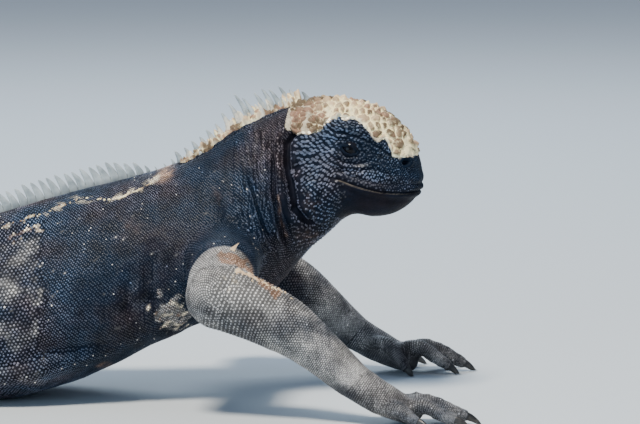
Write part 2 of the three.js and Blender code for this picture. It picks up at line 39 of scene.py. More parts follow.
HEAD_BACK = 51
NECK_BACK = 14
VENT = -290
TAIL_TIP = -860
SKIN_STEP = 0.0026
OLD_COUNT = 166
FRESH_COUNT = 226
BODY_SHELF = 0.48
GOLDEN_TURN = 2.39996
EYE_RADIUS = 6.8
EYE_DEPTH = 7.2
EYE_PLACE = (93, 161.5)
EYE_HALF_LENGTH = 5.0
EYE_TILT = math.radians(22)
NOSTRIL_PLACE = (127.5, 153)
EAR_PLACE = (58.5, 149)
MOUTH_CORNER = 83

# ---- the camera, which sees the front half of the animal from its right side


def add_camera():
    target = Vector((0.3981, 0, 0.1174))
    distance = 3.0
    elevation = math.radians(7)
    data = bpy.data.cameras.new("camera")
    data.sensor_width = 36
    data.lens = 263.7
    data.clip_end = 60
    camera = bpy.data.objects.new("camera", data)
    back = Vector((0, -math.cos(elevation), math.sin(elevation)))
    camera.location = target + back * distance
    camera.rotation_euler = (-back).to_track_quat("-Z", "Y").to_euler()
    bpy.context.scene.collection.objects.link(camera)
    bpy.context.scene.camera = camera


add_camera()
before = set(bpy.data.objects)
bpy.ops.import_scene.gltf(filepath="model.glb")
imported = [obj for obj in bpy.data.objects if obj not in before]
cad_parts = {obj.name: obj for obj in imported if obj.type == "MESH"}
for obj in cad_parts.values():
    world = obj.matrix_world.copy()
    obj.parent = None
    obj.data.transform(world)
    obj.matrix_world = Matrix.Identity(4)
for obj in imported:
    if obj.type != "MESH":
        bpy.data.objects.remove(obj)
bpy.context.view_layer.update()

# ---- the body's form

# place along the axis, half width, heights of crown, widest level and underside,
# and how full the upper and lower halves are
BODY_SECTIONS = [
    [-860, 1.0, 4.0, 1.6, -0.4, 2.0, 2.0], [-835, 2.2, 6.6, 2.6, -0.7, 1.9, 2.1],
    [-760, 4.0, 12, 5, -0.9, 1.8, 2.2], [-640, 6.5, 20, 8, -1.1, 1.7, 2.2],
    [-520, 9.5, 30, 12, -1.3, 1.7, 2.2], [-400, 14, 43, 17, -1.5, 1.8, 2.3],
    [-330, 21, 56, 22, -1.5, 1.9, 2.3], [-290, 30, 67, 28, -1.5, 1.9, 2.4],
    [-250, 43, 82, 35, -1.5, 1.9, 2.6], [-190, 57, 101, 42, -1.5, 1.9, 2.7],
    [-136, 64, 117, 48, -1.0, 1.85, 2.6], [-91, 64, 130, 57, 9, 1.8, 2.4],
    [-58, 61, 138.5, 66, 23, 1.8, 2.3], [-35, 58, 144.5, 74, 35, 1.8, 2.3],
    [-15, 53, 152, 84, 44, 1.75, 2.2], [0, 49, 161, 93, 49, 1.7, 2.1],
    [19, 43, 173, 106, 54, 1.75, 2.0], [32, 40, 179.5, 117, 62, 1.85, 1.95],
    [45, 37, 184.5, 127, 74, 1.95, 1.9], [56, 35, 187.5, 134, 87, 2.1, 1.9],
    [64, 34, 189.5, 137, 96, 2.2, 1.9], [75, 33, 190.5, 138, 105.5, 2.25, 2.0],
    [85, 31.5, 190, 139, 114.5, 2.3, 2.1], [95, 29.5, 188.5, 140, 118, 2.3, 2.2],
    [105, 27, 185.5, 140, 116.5, 2.3, 2.2], [115, 24, 180, 140, 118, 2.3, 2.2],
    [120, 22, 175.5, 140, 120, 2.3, 2.2], [125.5, 19, 169.5, 140, 123, 2.3, 2.2],
    [130.5, 14.5, 160.5, 140, 127.5, 2.3, 2.2], [134, 9, 151, 140, 131.5, 2.2, 2.2],
    [136, 0.6, 141, 140, 139, 2, 2],
]
BODY_HEADING = [
    [-860, -4], [-700, -20], [-560, -28], [-430, -15], [-330, -4], [-250, 0], [15, 0], [48, -10],
    [140, -10],
]
# soft swellings and hollows on both sides: centre, reach, push
HEAD_FORMS = [
    ([94, 26, 175], [15, 7, 5], [0, 3.2, 0.8]),
    ([94, 30, 162], [14, 10, 8], [0, -3.2, 0]),
    ([93, 29, 161.5], [8.5, 9, 6], [0, 4.2, 0]),
    ([70, 31, 128], [13, 12, 15], [0, 3.0, -1]),
    ([66, 28, 166], [9, 10, 10], [0, 2, 0]),
    ([109, 25, 157], [7, 8, 7], [0, -1.6, 0]),
    ([127, 15, 153.5], [6, 7, 5], [0.8, 1.2, 0.5]),
    ([106, 27, 138], [16, 9, 5], [0, 1.6, 0]),
]
TRUNK_FORMS = [
    ([-105, 60, 20], [45, 14, 9], [0, 5, -1]),
    ([-100, 66, 38], [45, 14, 7], [0, -3, 0]),
    ([-6, 45, 95], [26, 16, 26], [0, 6, 0]),
    ([-48, 60, 62], [20, 14, 30], [0, -4, 0]),
    ([-252, 38, 52], [26, 16, 24], [0, 5, 0]),
    ([42, 36, 100], [8, 14, 20], [0, 3, 0]),
]
MOUTH_LINE = [
    [82, 144], [87, 143.2], [95, 140.2], [106, 136.8], [115, 134.9], [127, 133.9], [145, 133.5],
]
# the crust of tubercles grows above this height
CRUST_EDGE = [
    [51, 176], [56, 172.5], [62, 171], [70, 171.5], [75, 174], [77.5, 178.5], [84, 181],
    [95.5, 180], [102.5, 175.5], [107.8, 167.6], [110.5, 167], [113.8, 168.2], [117, 164.5],
    [118.6, 160.8], [119.8, 157.3], [129, 156.5], [136, 155.5],
]
SPINE_HEIGHT = [
    [-860, 2.2], [-640, 5], [-430, 8], [-290, 10], [-136, 12], [-62, 11.5], [-46, 8], [-36, 2.5],
    [-27, 3], [-16, 8.5], [-4, 9.5], [8, 11], [14, 15], [20, 17.5], [36, 15.5], [46, 16], [52, 11],
    [60, 7],
]
# creases in the neck and shoulder: depth, width, and points along the body and up it
CREASES = [
    (
        5.0,
        2.3,
        [[59, 182], [58.5, 174], [53, 165.5], [53.5, 154]]
        + [[57, 141], [59.5, 124], [64.5, 116], [72, 111]],
    ),
    (3.8, 2.0, [[44, 160], [45, 152], [45.5, 137], [48.5, 123.5], [51, 109.5], [52, 97]]),
    (3.0, 1.7, [[24, 146], [26, 140.4], [31, 131], [35.5, 120.5], [41, 109.5], [45, 102]]),
    (2.2, 1.7, [[20, 118], [23, 113], [30, 106.5], [36, 100]]),
    (0.9, 1.5, [[31, 174], [32, 152], [38, 128]]),
    (0.9, 1.5, [[37, 176], [38, 152], [42, 132]]), (0.7, 1.5, [[25, 170], [26, 152]]),
    (1.6, 3.0, [[2, 138], [8, 124], [18, 112]]),
    (2.4, 3.4, [[-34, 100], [-38, 80], [-36, 62], [-28, 50]]),
    (1.6, 3.0, [[-48, 84], [-52, 66], [-48, 48]]),
    (1.6, 3.5, [[-62, 60], [-44, 66], [-28, 72]]),
    (2.0, 3.0, [[-170, 24], [-130, 26], [-96, 36], [-66, 40]]),
    (1.2, 3.0, [[-232, 74], [-222, 56], [-224, 36]]),
    (1.4, 3.0, [[-286, 52], [-280, 40], [-284, 24]]),
]
# folds of the face: rise (or sink, below nought), width, and points along and up the side
FACE_FOLDS = [
    (1.0, 1.3, [[77, 177], [91.6, 175.4], [104.4, 171.5], [113, 165]]),
    (-1.3, 0.9, [[80, 173.3], [91.6, 171.6], [103, 167.4], [114, 161], [121, 156]]),
    (0.7, 0.8, [[81, 169.8], [91, 169.3], [101, 165.6], [111, 160]]),
    (-0.7, 0.6, [[83, 167.4], [91, 167.4], [99, 164.8], [105, 161.6]]),
    (-0.9, 0.7, [[98.6, 160.2], [107.6, 159.2], [115, 155.6]]),
    (0.7, 0.8, [[82, 162.5], [85.6, 158], [91, 155.6], [98, 155], [105, 157.2], [111, 157.5]]),
    (-0.8, 0.7, [[81, 159.5], [86, 155.6], [92, 153.2], [99, 152.7], [107, 154.8], [114, 153]]),
    (0.9, 1.0, [[79, 156.5], [88.5, 151.2], [98.7, 150.4], [107.6, 152.6], [114, 150.6], [119, 147.5]]),
    (-0.8, 0.9, [[79, 153], [88, 148.6], [98, 147.8], [107.6, 149.8], [115, 147.4], [121, 145]]),
    (-0.6, 0.7, [[84, 171.4], [91, 170.6], [98, 167.6]]),
]

FORE_UPPER = [[0, 20, 22], [0.5, 22.5, 23.5], [1, 20, 21]]
FORE_LOWER = [[0, 19, 20.5], [0.35, 17.5, 18], [0.6, 15, 15], [0.8, 13.5, 13], [1, 12.5, 11.5]]
FORE_SOLE = [[0, 12.5, 11.5], [0.4, 13, 10.5], [0.75, 14, 9], [1, 12.5, 7.4]]
HIND_UPPER = [[0, 27, 28], [0.5, 24, 24], [1, 16, 17]]
HIND_LOWER = [[0, 15.5, 16], [0.35, 15, 15.5], [0.75, 9.5, 10.5], [1, 9, 8.5]]
HIND_SOLE = [[0, 9, 8.5], [0.5, 12, 8], [1, 14.5, 6]]

# each toe: root, heading left of +X, length, arch height, root radius
LEGS = {
    "fore_right": {
        "upper": ([[8, -18, 92], [10, -58, 91], [6, -95, 77]], FORE_UPPER),
        "lower": (
            [[6, -95, 77], [37, -101, 64.5], [57, -105, 53], [74, -109, 39.5], [91, -112, 25]],
            FORE_LOWER,
        ),
        "sole": ([[86, -111, 29], [99, -114, 20], [113, -116, 12.5], [125, -117, 7]], FORE_SOLE),
        "bend": [20.5, 20, 21.5],
        "toes": [
            [99, -104, 19, 22, 25, 19, 5], [118, -110, 11, 9, 33, 13, 5.4],
            [122, -117, 9, -3, 38, 13, 5.6], [119, -123, 9, -15, 35, 12, 5.4],
            [108, -126, 12, -36, 27, 11, 5],
        ],
        "nodes": ["upper_arm_right", "forearm_right", "hand_right"],
    },
    "fore_left": {
        "upper": ([[10, 18, 92], [14, 58, 91], [12, 94, 76]], FORE_UPPER),
        "lower": ([[12, 94, 76], [44, 96, 61], [62, 96, 50], [78, 95, 37], [92, 94, 25]], FORE_LOWER),
        "sole": ([[87, 94.4, 29], [101, 93, 20], [116, 92, 12.5], [127, 92, 7]], FORE_SOLE),
        "bend": [19, 20, 21],
        "toes": [
            [102, 82, 19, -22, 26, 21, 5], [120, 86, 11, -9, 35, 17, 5.4],
            [125, 92, 9, 3, 40, 16, 5.6], [121, 99, 9, 15, 36, 14, 5.4],
            [111, 102, 12, 36, 28, 12, 5],
        ],
        "nodes": ["upper_arm_left", "forearm_left", "hand_left"],
    },
    "hind_right": {
        "upper": ([[-258, -12, 50], [-240, -52, 49], [-206, -96, 38]], HIND_UPPER),
        "lower": ([[-206, -96, 38], [-234, -115, 29], [-268, -130, 16]], HIND_LOWER),
        "sole": ([[-262, -128, 18], [-258, -137, 10], [-232, -146, 6.5]], HIND_SOLE),
        "bend": [17, 16, 17],
        "toes": [
            [-244, -133, 9, 12, 20, 10, 4.4], [-236, -138, 8, 0, 30, 11, 4.8],
            [-232, -144, 7, -12, 42, 11.5, 5], [-233, -151, 7, -22, 54, 11.5, 5],
            [-246, -153, 8, -46, 34, 10, 4.6],
        ],
        "nodes": ["thigh_right", "shin_right", "foot_right"],
    },
    "hind_left": {
        "upper": ([[-262, 12, 50], [-256, 54, 49], [-240, 100, 36]], HIND_UPPER),
        "lower": ([[-240, 100, 36], [-272, 114, 28], [-310, 126, 16]], HIND_LOWER),
        "sole": ([[-304, 124, 18], [-300, 134, 10], [-276, 144, 6.5]], HIND_SOLE),
        "bend": [17, 16, 17],
        "toes": [
            [-288, 131, 9, -10, 20, 10, 4.4], [-280, 136, 8, 2, 30, 11, 4.8],
            [-276, 142, 7, 14, 42, 11.5, 5], [-277, 149, 7, 25, 54, 11.5, 5],
            [-290, 151, 8, 50, 34, 10, 4.6],
        ],
        "nodes": ["thigh_left", "shin_left", "foot_left"],
    },
}


def through_rows(rows):
    """A smooth curve through rows of [place, value, value...] that never overshoots them."""
    rows = np.array(rows, float)
    places, values = rows[:, 0], rows[:, 1:]
    spans = np.diff(places)[:, None]
    rises = np.diff(values, axis=0) / spans
    before = np.vstack([rises[:1], rises])
    after = np.vstack([rises, rises[-1:]])
    product = before * after
    total = np.where(product > 0, before + after, 1)
    slopes = np.where(product > 0, 2 * product / total, 0)

    def at(place):
        place = np.clip(np.asarray(place, float), places[0], places[-1])
        i = np.clip(np.searchsorted(places, place) - 1, 0, len(places) - 2)
        span = (places[i + 1] - places[i])[..., None]
        t = ((place - places[i])[..., None]) / span
        return (
            (2 * t**3 - 3 * t**2 + 1) * values[i]
            + (t**3 - 2 * t**2 + t) * span * slopes[i]
            + (3 * t**2 - 2 * t**3) * values[i + 1]
            + (t**3 - t**2) * span * slopes[i + 1]
        )

    return at


section_at = through_rows(BODY_SECTIONS)
heading_at = through_rows(BODY_HEADING)
mouth_at = through_rows(MOUTH_LINE)
crust_edge_at = through_rows(CRUST_EDGE)
spine_height_at = through_rows(SPINE_HEIGHT)

WALK = 2.0
knots = np.arange(-450, 451) * WALK
steps = WALK * np.exp(1j * np.radians(heading_at(knots[:-1] + WALK / 2)[:, 0]))
walked = np.concatenate([[0], np.cumsum(steps)])
walked -= walked[450]


def smoothstep(value, low, high):
    t = np.clip((value - low) / (high - low), 0, 1)
    return t * t * (3 - 2 * t)


def bell(value, width):
    return np.exp(-((value / width) ** 2))


def spot(a, z, at, reach):
    """A soft round spot in the side view: 1 in its middle, fading to nought."""
    return bell(np.hypot((a - at[0]) / reach[0], (z - at[1]) / reach[1]), 1.0)


def lengths_along(line):
    """How far along a line of points each of them lies."""
    return np.concatenate([[0], np.cumsum(np.linalg.norm(np.diff(line, axis=0), axis=1))])


def unit(vectors):
    """The same directions with a length of one, along the last axis."""
    return vectors / np.maximum(np.linalg.norm(vectors, axis=-1, keepdims=True), 1e-9)


def above_mouth(a, z):
    """How far places in the side view are above the line of the mouth."""
    return z - mouth_at(np.maximum(a, MOUTH_CORNER - 1))[:, 0]


def from_ends(a, z, line):
    """How far places in the side view are from the nearer end of a line."""
    first, last = (np.hypot(a - at[0], z - at[1]) for at in (line[0], line[-1]))
    return np.minimum(first, last)


def from_ear(a, z):
    return np.hypot(a - EAR_PLACE[0] - 2, (z - EAR_PLACE[1]) / 1.8)


def path_at(along):
    """The body's path seen from above, as complex numbers, and its heading in radians."""
    place = np.interp(along, knots, walked.real) + 1j * np.interp(along, knots, walked.imag)
    return place, np.radians(heading_at(along)[..., 0])


def posed(straight):
    """Points of the straightened body in their place in the posed body, in millimetres."""
    place, heading = path_at(straight[..., 0])
    turned = place + 1j * straight[..., 1] * np.exp(1j * heading)
    return np.stack([turned.real, turned.imag, straight[..., 2]], -1)


def straightened(points):
    """The opposite of posed()."""
    flat = points[:, 0] + 1j * points[:, 1]
    along = points[:, 0].copy()
    for _ in range(15):
        place, heading = path_at(along)
        along = np.clip(along + ((flat - place) * np.exp(-1j * heading)).real, -880, 880)
    place, heading = path_at(along)
    side = ((flat - place) * np.exp(-1j * heading)).imag
    return np.stack([along, side, points[:, 2]], -1)


def placed(points):
    """Millimetres round the shoulder to metres in the frame."""
    return (points + ORIGIN) * MM


def pushed(points):
    moved = points.copy()
    for forms, here in (
        (HEAD_FORMS, points[..., 0] > HEAD_BACK),
        (TRUNK_FORMS, points[..., 0] <= HEAD_BACK),
    ):
        for at, reach, push in forms:
            for side in (-1, 1):
                far = (
                    ((points[..., 0] - at[0]) / reach[0]) ** 2
                    + ((points[..., 1] - side * at[1]) / reach[1]) ** 2
                    + ((points[..., 2] - at[2]) / reach[2]) ** 2
                )
                share = np.exp(-far) * here
                moved[..., 0] += push[0] * share
                moved[..., 1] += side * push[1] * share
                moved[..., 2] += push[2] * share
    return moved


def on_body(along, angle, grown=0.0):
    """Points on the straightened body's surface, from its left side over the back."""
    along, angle = np.broadcast_arrays(np.asarray(along, float), np.asarray(angle, float))
    width, crown, widest, under, upper, lower = np.moveaxis(section_at(along), -1, 0)
    c, s = np.cos(angle), np.sin(angle)
    full = 2 / np.where(s >= 0, upper, lower)
    rise = np.where(s >= 0, crown - widest, widest - under) + grown
    y = (width + grown) * np.sign(c) * np.abs(c) ** full
    z = widest + rise * np.sign(s) * np.abs(s) ** full
    return pushed(np.stack([along, y, z], -1))


def side_point(along, height):
    """The point on the left side of the straightened body at a height."""
    angles = np.linspace(-math.pi / 2, math.pi / 2, 241)
    ring = on_body(np.full(241, float(along)), angles)
    return on_body(float(along), np.interp(height, ring[:, 2], angles))


def curve_through(points, shares):
    """A centripetal Catmull-Rom curve through a few points: places and directions."""
    p = np.array(points, float)
    p = np.vstack([2 * p[0] - p[1], p, 2 * p[-1] - p[-2]])
    spans = np.maximum(np.linalg.norm(np.diff(p, axis=0), axis=1) ** 0.5, 1e-4)
    count = len(points) - 1

    def at(share):
        i = np.clip((share * count).astype(int), 0, count - 1)
        t = (share * count - i)[:, None]
        before, span, after = (spans[i + k][:, None] for k in range(3))
        a, b, c, d = (p[i + k] for k in range(4))
        start = (b - a) / before - (c - a) / (before + span) + (c - b) / span
        end = (c - b) / span - (d - b) / (span + after) + (d - c) / after
        start, end = start * span, end * span
        return (
            b
            + start * t
            + (3 * (c - b) - 2 * start - end) * t**2
            + (2 * (b - c) + start + end) * t**3
        )

    shares = np.asarray(shares, float)
    ahead = at(np.minimum(shares + 1e-3, 1)) - at(np.maximum(shares - 1e-3, 0))
    return at(shares), unit(ahead)


def limb_surface(points, girths, share, angle):
    """Points on a limb, each at its own share along it and angle round it."""
    centre, forward = curve_through(points, np.clip(share, 0, 1))
    across = unit(np.cross([0, 0, 1], forward))
    over = np.cross(forward, across)
    girth = through_rows(girths)(share)
    return (
        centre
        + across * (girth[:, :1] * np.cos(angle)[:, None])
        + over * (girth[:, 1:2] * np.sin(angle)[:, None])
    )


def tube_points(points, girths, shares, angles):
    """A grid of points round a limb, shares along it by angles round it."""
    share, angle = (v.ravel() for v in np.meshgrid(shares, angles, indexing="ij"))
    return limb_surface(points, girths, share, angle).reshape(len(shares), -1, 3)


def capped_tube(points, girths, rows, columns):
    """A limb with its two ends rounded over to a point."""
    shares = np.linspace(0, 1, rows)
    grid = tube_points(points, girths, shares, round_angles(columns))
    centre, forward = curve_through(points, shares)
    ends = []
    for k, way in ((0, -1), (-1, 1)):
        reach = 0.6 * np.linalg.norm(grid[k, 0] - centre[k])
        for bend in (0.45, 0.8, 1.0):
            out = math.sin(bend * math.pi / 2)
            size = math.cos(bend * math.pi / 2)
            ends.append(centre[k] + (grid[k] - centre[k]) * size + forward[k] * way * reach * out)
    return np.concatenate([ends[2::-1], grid, ends[3:]])


def round_angles(count):
    return np.arange(count) * 2 * math.pi / count


def toe_curve(toe):
    x, y, z, heading, length, arch, _ = toe
    way = np.array([math.cos(math.radians(heading)), math.sin(math.radians(heading))])
    rows = [(-0.3, z), (0.08, max(z, arch * 0.9)), (0.42, arch), (0.74, arch * 0.62), (1, 4.6)]
    return [[x + way[0] * length * s, y + way[1] * length * s, h] for s, h in rows]


def toe_girths(toe, swell=1.0):
    """A toe thickens at its joints and thins between them."""
    radius = toe[6]
    return [
        [0, radius, radius], [0.3, radius * 0.92, radius * 0.95],
        [0.42, radius * 0.95, radius * (0.94 + 0.08 * swell)], [0.56, radius * 0.82, radius * 0.86],
        [0.7, radius * 0.84, radius * (0.84 + 0.06 * swell)], [0.86, radius * 0.72, radius * 0.76],
        [1, radius * 0.6, radius * 0.72],
    ]


# ---- making meshes


def add_loft(bm, points):
    """Adds a closed tube through a grid of points, rows along it and columns round it."""
    rows, columns = points.shape[:2]
    wrapped = np.concatenate([points, points[:, :1]], axis=1).reshape(-1, 3)
    made = bmesh.ops.create_grid(bm, x_segments=columns, y_segments=rows - 1, size=1)
    for vert, place in zip(made["verts"], wrapped):
        vert.co = place
    bmesh.ops.remove_doubles(bm, verts=made["verts"], dist=1e-7)


def mesh_from(bm, name, smooth=True):
    bmesh.ops.recalc_face_normals(bm, faces=bm.faces)
    mesh = bpy.data.meshes.new(name)
    bm.to_mesh(mesh)
    bm.free()
    mesh.polygons.foreach_set("use_smooth", [smooth] * len(mesh.polygons))
    return mesh


def show(mesh, name, slot, finish, *nodes):
    """Puts a finished mesh in the scene as a piece on the body, with its finish."""
    piece = bpy.data.objects.new(name, mesh)
    bpy.context.scene.collection.objects.link(piece)
    mesh.materials.clear()
    mesh.materials.append(finish)
    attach(piece, "root")
    if nodes:
        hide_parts(*nodes)
    return piece


def vectors_of(items, name):
    flat = np.empty(len(items) * 3, np.float32)
    items.foreach_get(name, flat)
    return flat.reshape(-1, 3).astype(float)


def points_of(mesh):
    return vectors_of(mesh.vertices, "co")


def normals_of(mesh):
    return vectors_of(mesh.vertex_normals, "vector")


def set_points(mesh, points):
    mesh.vertices.foreach_set("co", points.astype(np.float32).ravel())
    mesh.update()


def set_colour(mesh, name, values):
    """Keeps three masks a vertex as one colour attribute."""
    full = np.ones((len(values), 4), np.float32)
    full[:, :3] = values
    attribute = mesh.attributes.new(name, "FLOAT_COLOR", "POINT")
    attribute.data.foreach_set("color", full.ravel())


def relaxed(mesh, rounds, share=None, back=-0.62):
    """Evens a mesh out, by smoothing forwards and back in turn so that it keeps its size."""
    ends = np.empty(len(mesh.edges) * 2, np.int32)
    mesh.edges.foreach_get("vertices", ends)
    a, b = ends.reshape(-1, 2).T
    count = len(mesh.vertices)
    degree = np.bincount(a, minlength=count) + np.bincount(b, minlength=count)
    points = points_of(mesh)
    share = np.ones(count) if share is None else share
    for step in range(rounds * 2):
        total = np.stack(
            [
                np.bincount(a, points[b, k], count) + np.bincount(b, points[a, k], count)
                for k in range(3)
            ],
            -1,
        )
        middle = total / np.maximum(degree, 1)[:, None]
        factor = 0.6 if step % 2 == 0 else back
        points += (middle - points) * (factor * share)[:, None]
    set_points(mesh, points)


def round_roots(mesh):
    """Lets the limbs grow out of the trunk in a soft hollow, without an edge."""
    points = points_of(mesh) / MM - ORIGIN
    share = np.zeros(len(points))
    for at, reach in (((8, 52, 96), 27), ((-246, 52, 50), 24)):
        for side in (-1, 1):
            far = np.linalg.norm(points - [at[0], side * at[1], at[2]], axis=1)
            share = np.maximum(share, 1 - smoothstep(far, reach * 0.75, reach * 1.35))
    relaxed(mesh, 34, share, back=0.6)


def wander(points, pitch, seed=0):
    """Soft noise from -1 to 1 over points in millimetres, with bumps about a pitch apart."""
    shift = Vector((seed * 17.3, seed * 5.1, seed * 9.7))
    return np.array(
        [noise.noise(Vector(p) / pitch + shift) for p in points.reshape(-1, 3)]
    ).reshape(points.shape[:-1])


# ---- the skin: one surface over trunk, neck, head, tail and limbs


def joined_flesh():
    bm = bmesh.new()
    along = np.concatenate([np.arange(TAIL_TIP, 120, 3.0), np.linspace(120, 136, 18)])
    grid = on_body(along[:, None], round_angles(144)[None])
    grid = np.concatenate([grid[:1] * 0 + grid[0].mean(0), grid, grid[-1:] * 0 + grid[-1].mean(0)])
    add_loft(bm, placed(posed(grid)))
    for leg in LEGS.values():
        for part, rows in (("upper", 24), ("lower", 40), ("sole", 18)):
            add_loft(bm, placed(capped_tube(*leg[part], rows, 40)))
        ball = bmesh.ops.create_icosphere(bm, subdivisions=4, radius=1)["verts"]
        bend = np.array(leg["upper"][0][-1], float)
        for vert in ball:
            vert.co = placed(bend + np.array(vert.co) * leg["bend"])
        for toe in leg["toes"]:
            add_loft(bm, placed(capped_tube(toe_curve(toe), toe_girths(toe), 26, 20)))
    return mesh_from(bm, "flesh")


def fused(mesh, voxel):
    """Fuses overlapping closed forms into one even surface."""
    holder = bpy.data.objects.new("holder", mesh)
    bpy.context.scene.collection.objects.link(holder)
    remesh = holder.modifiers.new("remesh", "REMESH")
    remesh.mode = "VOXEL"
    remesh.voxel_size = voxel
    graph = bpy.context.evaluated_depsgraph_get()
    made = bpy.data.meshes.new_from_object(holder.evaluated_get(graph))
    bpy.data.objects.remove(holder)
    return made


def refined(mesh, wanted):
    """Splits the faces whose middle wanted() picks, in millimetres of the straight body."""
    bm = bmesh.new()
    bm.from_mesh(mesh)
    middles = np.array([f.calc_center_median() for f in bm.faces])
    picked = wanted(straightened(middles / MM - ORIGIN))
    edges = {e for f, yes in zip(bm.faces, picked) if yes for e in f.edges}
    bmesh.ops.subdivide_edges(bm, edges=list(edges), cuts=1, use_grid_fill=True)
    bmesh.ops.triangulate(bm, faces=[f for f in bm.faces if len(f.verts) > 4])
    return mesh_from(bm, "skin")


def line_distance(a, z, line):
    """How far points of the side view are from a line through a few points."""
    nearest = np.full(a.shape, 1e9)
    for (a0, z0), (a1, z1) in zip(line[:-1], line[1:]):
        length = (a1 - a0) ** 2 + (z1 - z0) ** 2
        t = np.clip(((a - a0) * (a1 - a0) + (z - z0) * (z1 - z0)) / length, 0, 1)
        far = np.hypot(a - a0 - t * (a1 - a0), z - z0 - t * (z1 - z0))
        nearest = np.minimum(nearest, far)
    return nearest


def eye_ring(straight):
    """How far outside the opening between the lids points are."""
    a = straight[..., 0] - EYE_PLACE[0]
    z = straight[..., 2] - EYE_PLACE[1]
    s = a * math.cos(EYE_TILT) - z * math.sin(EYE_TILT)
    t = a * math.sin(EYE_TILT) + z * math.cos(EYE_TILT)
    tall = lid_height(s, t > 0)
    corner = np.hypot(np.abs(s) - EYE_HALF_LENGTH, t)
    return np.where(np.abs(s) < EYE_HALF_LENGTH, np.minimum(np.abs(t) - tall, corner), corner)


def lid_height(s, upper):
    """How far the upper or lower lid's edge is from the line between the eye's corners."""
    arch = np.clip(1 - (s / EYE_HALF_LENGTH) ** 2, 0, 1)
    return np.where(upper, 2.1, 2.3) * arch


def folds(straight):
    """How far the skin rises along its normal, and how far it sinks towards the middle."""
    a, y, z = straight.T
    lift = np.zeros(len(a))
    body = smoothstep(np.abs(y), 6, 14)
    limb = smoothstep(np.abs(y), section_at(a)[:, 0] + 2, section_at(a)[:, 0] + 14)
    for depth, width, line in CREASES:
        far = line_distance(a, z, line)
        ends = smoothstep(from_ends(a, z, line), 0, 9)
        rolled = -bell(far, width) + 0.4 * bell(far - 2.4 * width, 1.2 * width)
        lift += depth * rolled * body * (1 - limb) * (0.2 + 0.8 * ends)
    # fine wrinkles round the neck
    ripple = np.sin((a - 0.22 * (150 - z)) * 2 * math.pi / 4.6 + 1.3 * np.sin(z / 9))
    neck = smoothstep(a, 8, 26) * (1 - smoothstep(a, 52, 58))
    lift += 0.3 * ripple * neck * body * (1 - limb)

    high_up = z > section_at(a)[:, 1] - 14
    under = bell(np.abs(y) - 6.9, 1.3) * high_up * smoothstep(a, -26, -16)
    lift -= 1.3 * under * (1 - smoothstep(a, 46, 52))
    elbow = bell(np.abs(y) - 79, 2.6) * smoothstep(z, 82, 94) * bell(a - 8, 22)
    lift -= 1.7 * elbow

    head = (a > 46) & (np.abs(y) > 9)
    mirrored = straight.copy()
    mirrored[:, 1] = np.abs(y)
    beyond = eye_ring(mirrored)
    outside = smoothstep(beyond, 0.8, 2.2)
    face = np.zeros(len(a))
    for rise_by, width, line in FACE_FOLDS:
        rolled = rise_by * bell(line_distance(a, z, line), width)
        face += rolled * smoothstep(from_ends(a, z, line), -1, 4)
    face *= outside
    for rise_by, ring, width in ((0.7, 0.8, 0.7), (-0.8, 2.1, 0.6), (0.5, 3.3, 0.6)):
        face += rise_by * bell(beyond - ring, width)
    nostril = np.hypot((a - NOSTRIL_PLACE[0]) / 1.15, z - NOSTRIL_PLACE[1])
    face += 0.9 * bell(nostril - 2.7, 0.9) - 3.0 * smoothstep(-nostril, -2.0, -1.1)
    ear = from_ear(a, z)
    face += 0.6 * bell(ear - 3.2, 1.0) - 2.2 * smoothstep(-ear, -2.7, -1.4)
    # the fold that hangs behind the mouth's corner
    corner = line_distance(a, z, [[82, 144], [77, 136], [73, 126], [69, 114]])
    face -= 1.0 * bell(corner, 1.5)

    off = above_mouth(a, z)
    shown = smoothstep(a, MOUTH_CORNER - 2, MOUTH_CORNER + 4)
    lips = (
        -1.35 * bell(off, 0.55)
        + 0.9 * bell(off - 2.2, 1.7)
        + 0.75 * bell(off + 2.0, 1.3)
        + 0.7 * bell(off - 8.6, 2.8)
        - 0.6 * bell(off - 4.8, 0.8)
        - 0.4 * bell(off + 5.6, 1.2)
    )
    lift += np.where(head, face, 0) + lips * shown
    sink = np.where(head & (beyond < 3), 5.2 * smoothstep(-beyond, -0.3, 0.45), 0)
    return lift, sink


def make_skin():
    mesh = fused(joined_flesh(), SKIN_STEP)
    relaxed(mesh, 7)
    round_roots(mesh)
    mesh = refined(mesh, lambda p: (p[:, 0] > 12) & (p[:, 2] > 70) & (np.abs(p[:, 1]) < 44))
    relaxed(mesh, 2)
    mesh = refined(
        mesh,
        lambda p: (p[:, 0] > 74) & (p[:, 2] > 126) & (p[:, 2] < crust_edge_at(p[:, 0])[:, 0] + 2),
    )
    relaxed(mesh, 2)
    points = points_of(mesh) / MM - ORIGIN
    straight = straightened(points)
    lift, sink = folds(straight)
    lumps = 0.5 * wander(points, 22, 1) + 0.25 * wander(points, 9, 2)
    ease = smoothstep(points[:, 2], 1, 7)
    points += normals_of(mesh) * ((lift + lumps) * ease)[:, None]
    heading = path_at(straight[:, 0])[1]
    inwards = np.stack([np.sin(heading), -np.cos(heading), 0 * heading], -1)
    points += inwards * (np.sign(straight[:, 1]) * sink)[:, None]
    points[:, 2] = np.maximum(points[:, 2], 0)
    set_points(mesh, placed(points))
    return mesh


# ---- markings, shared by the skin and by what grows on it


def shed_front(points, straight):
    """How far behind the ragged front of the old skin on the flank places are."""
    return -straight[:, 0] - 107 + 7 * wander(points, 14, 3) + 3 * wander(points, 4, 4)


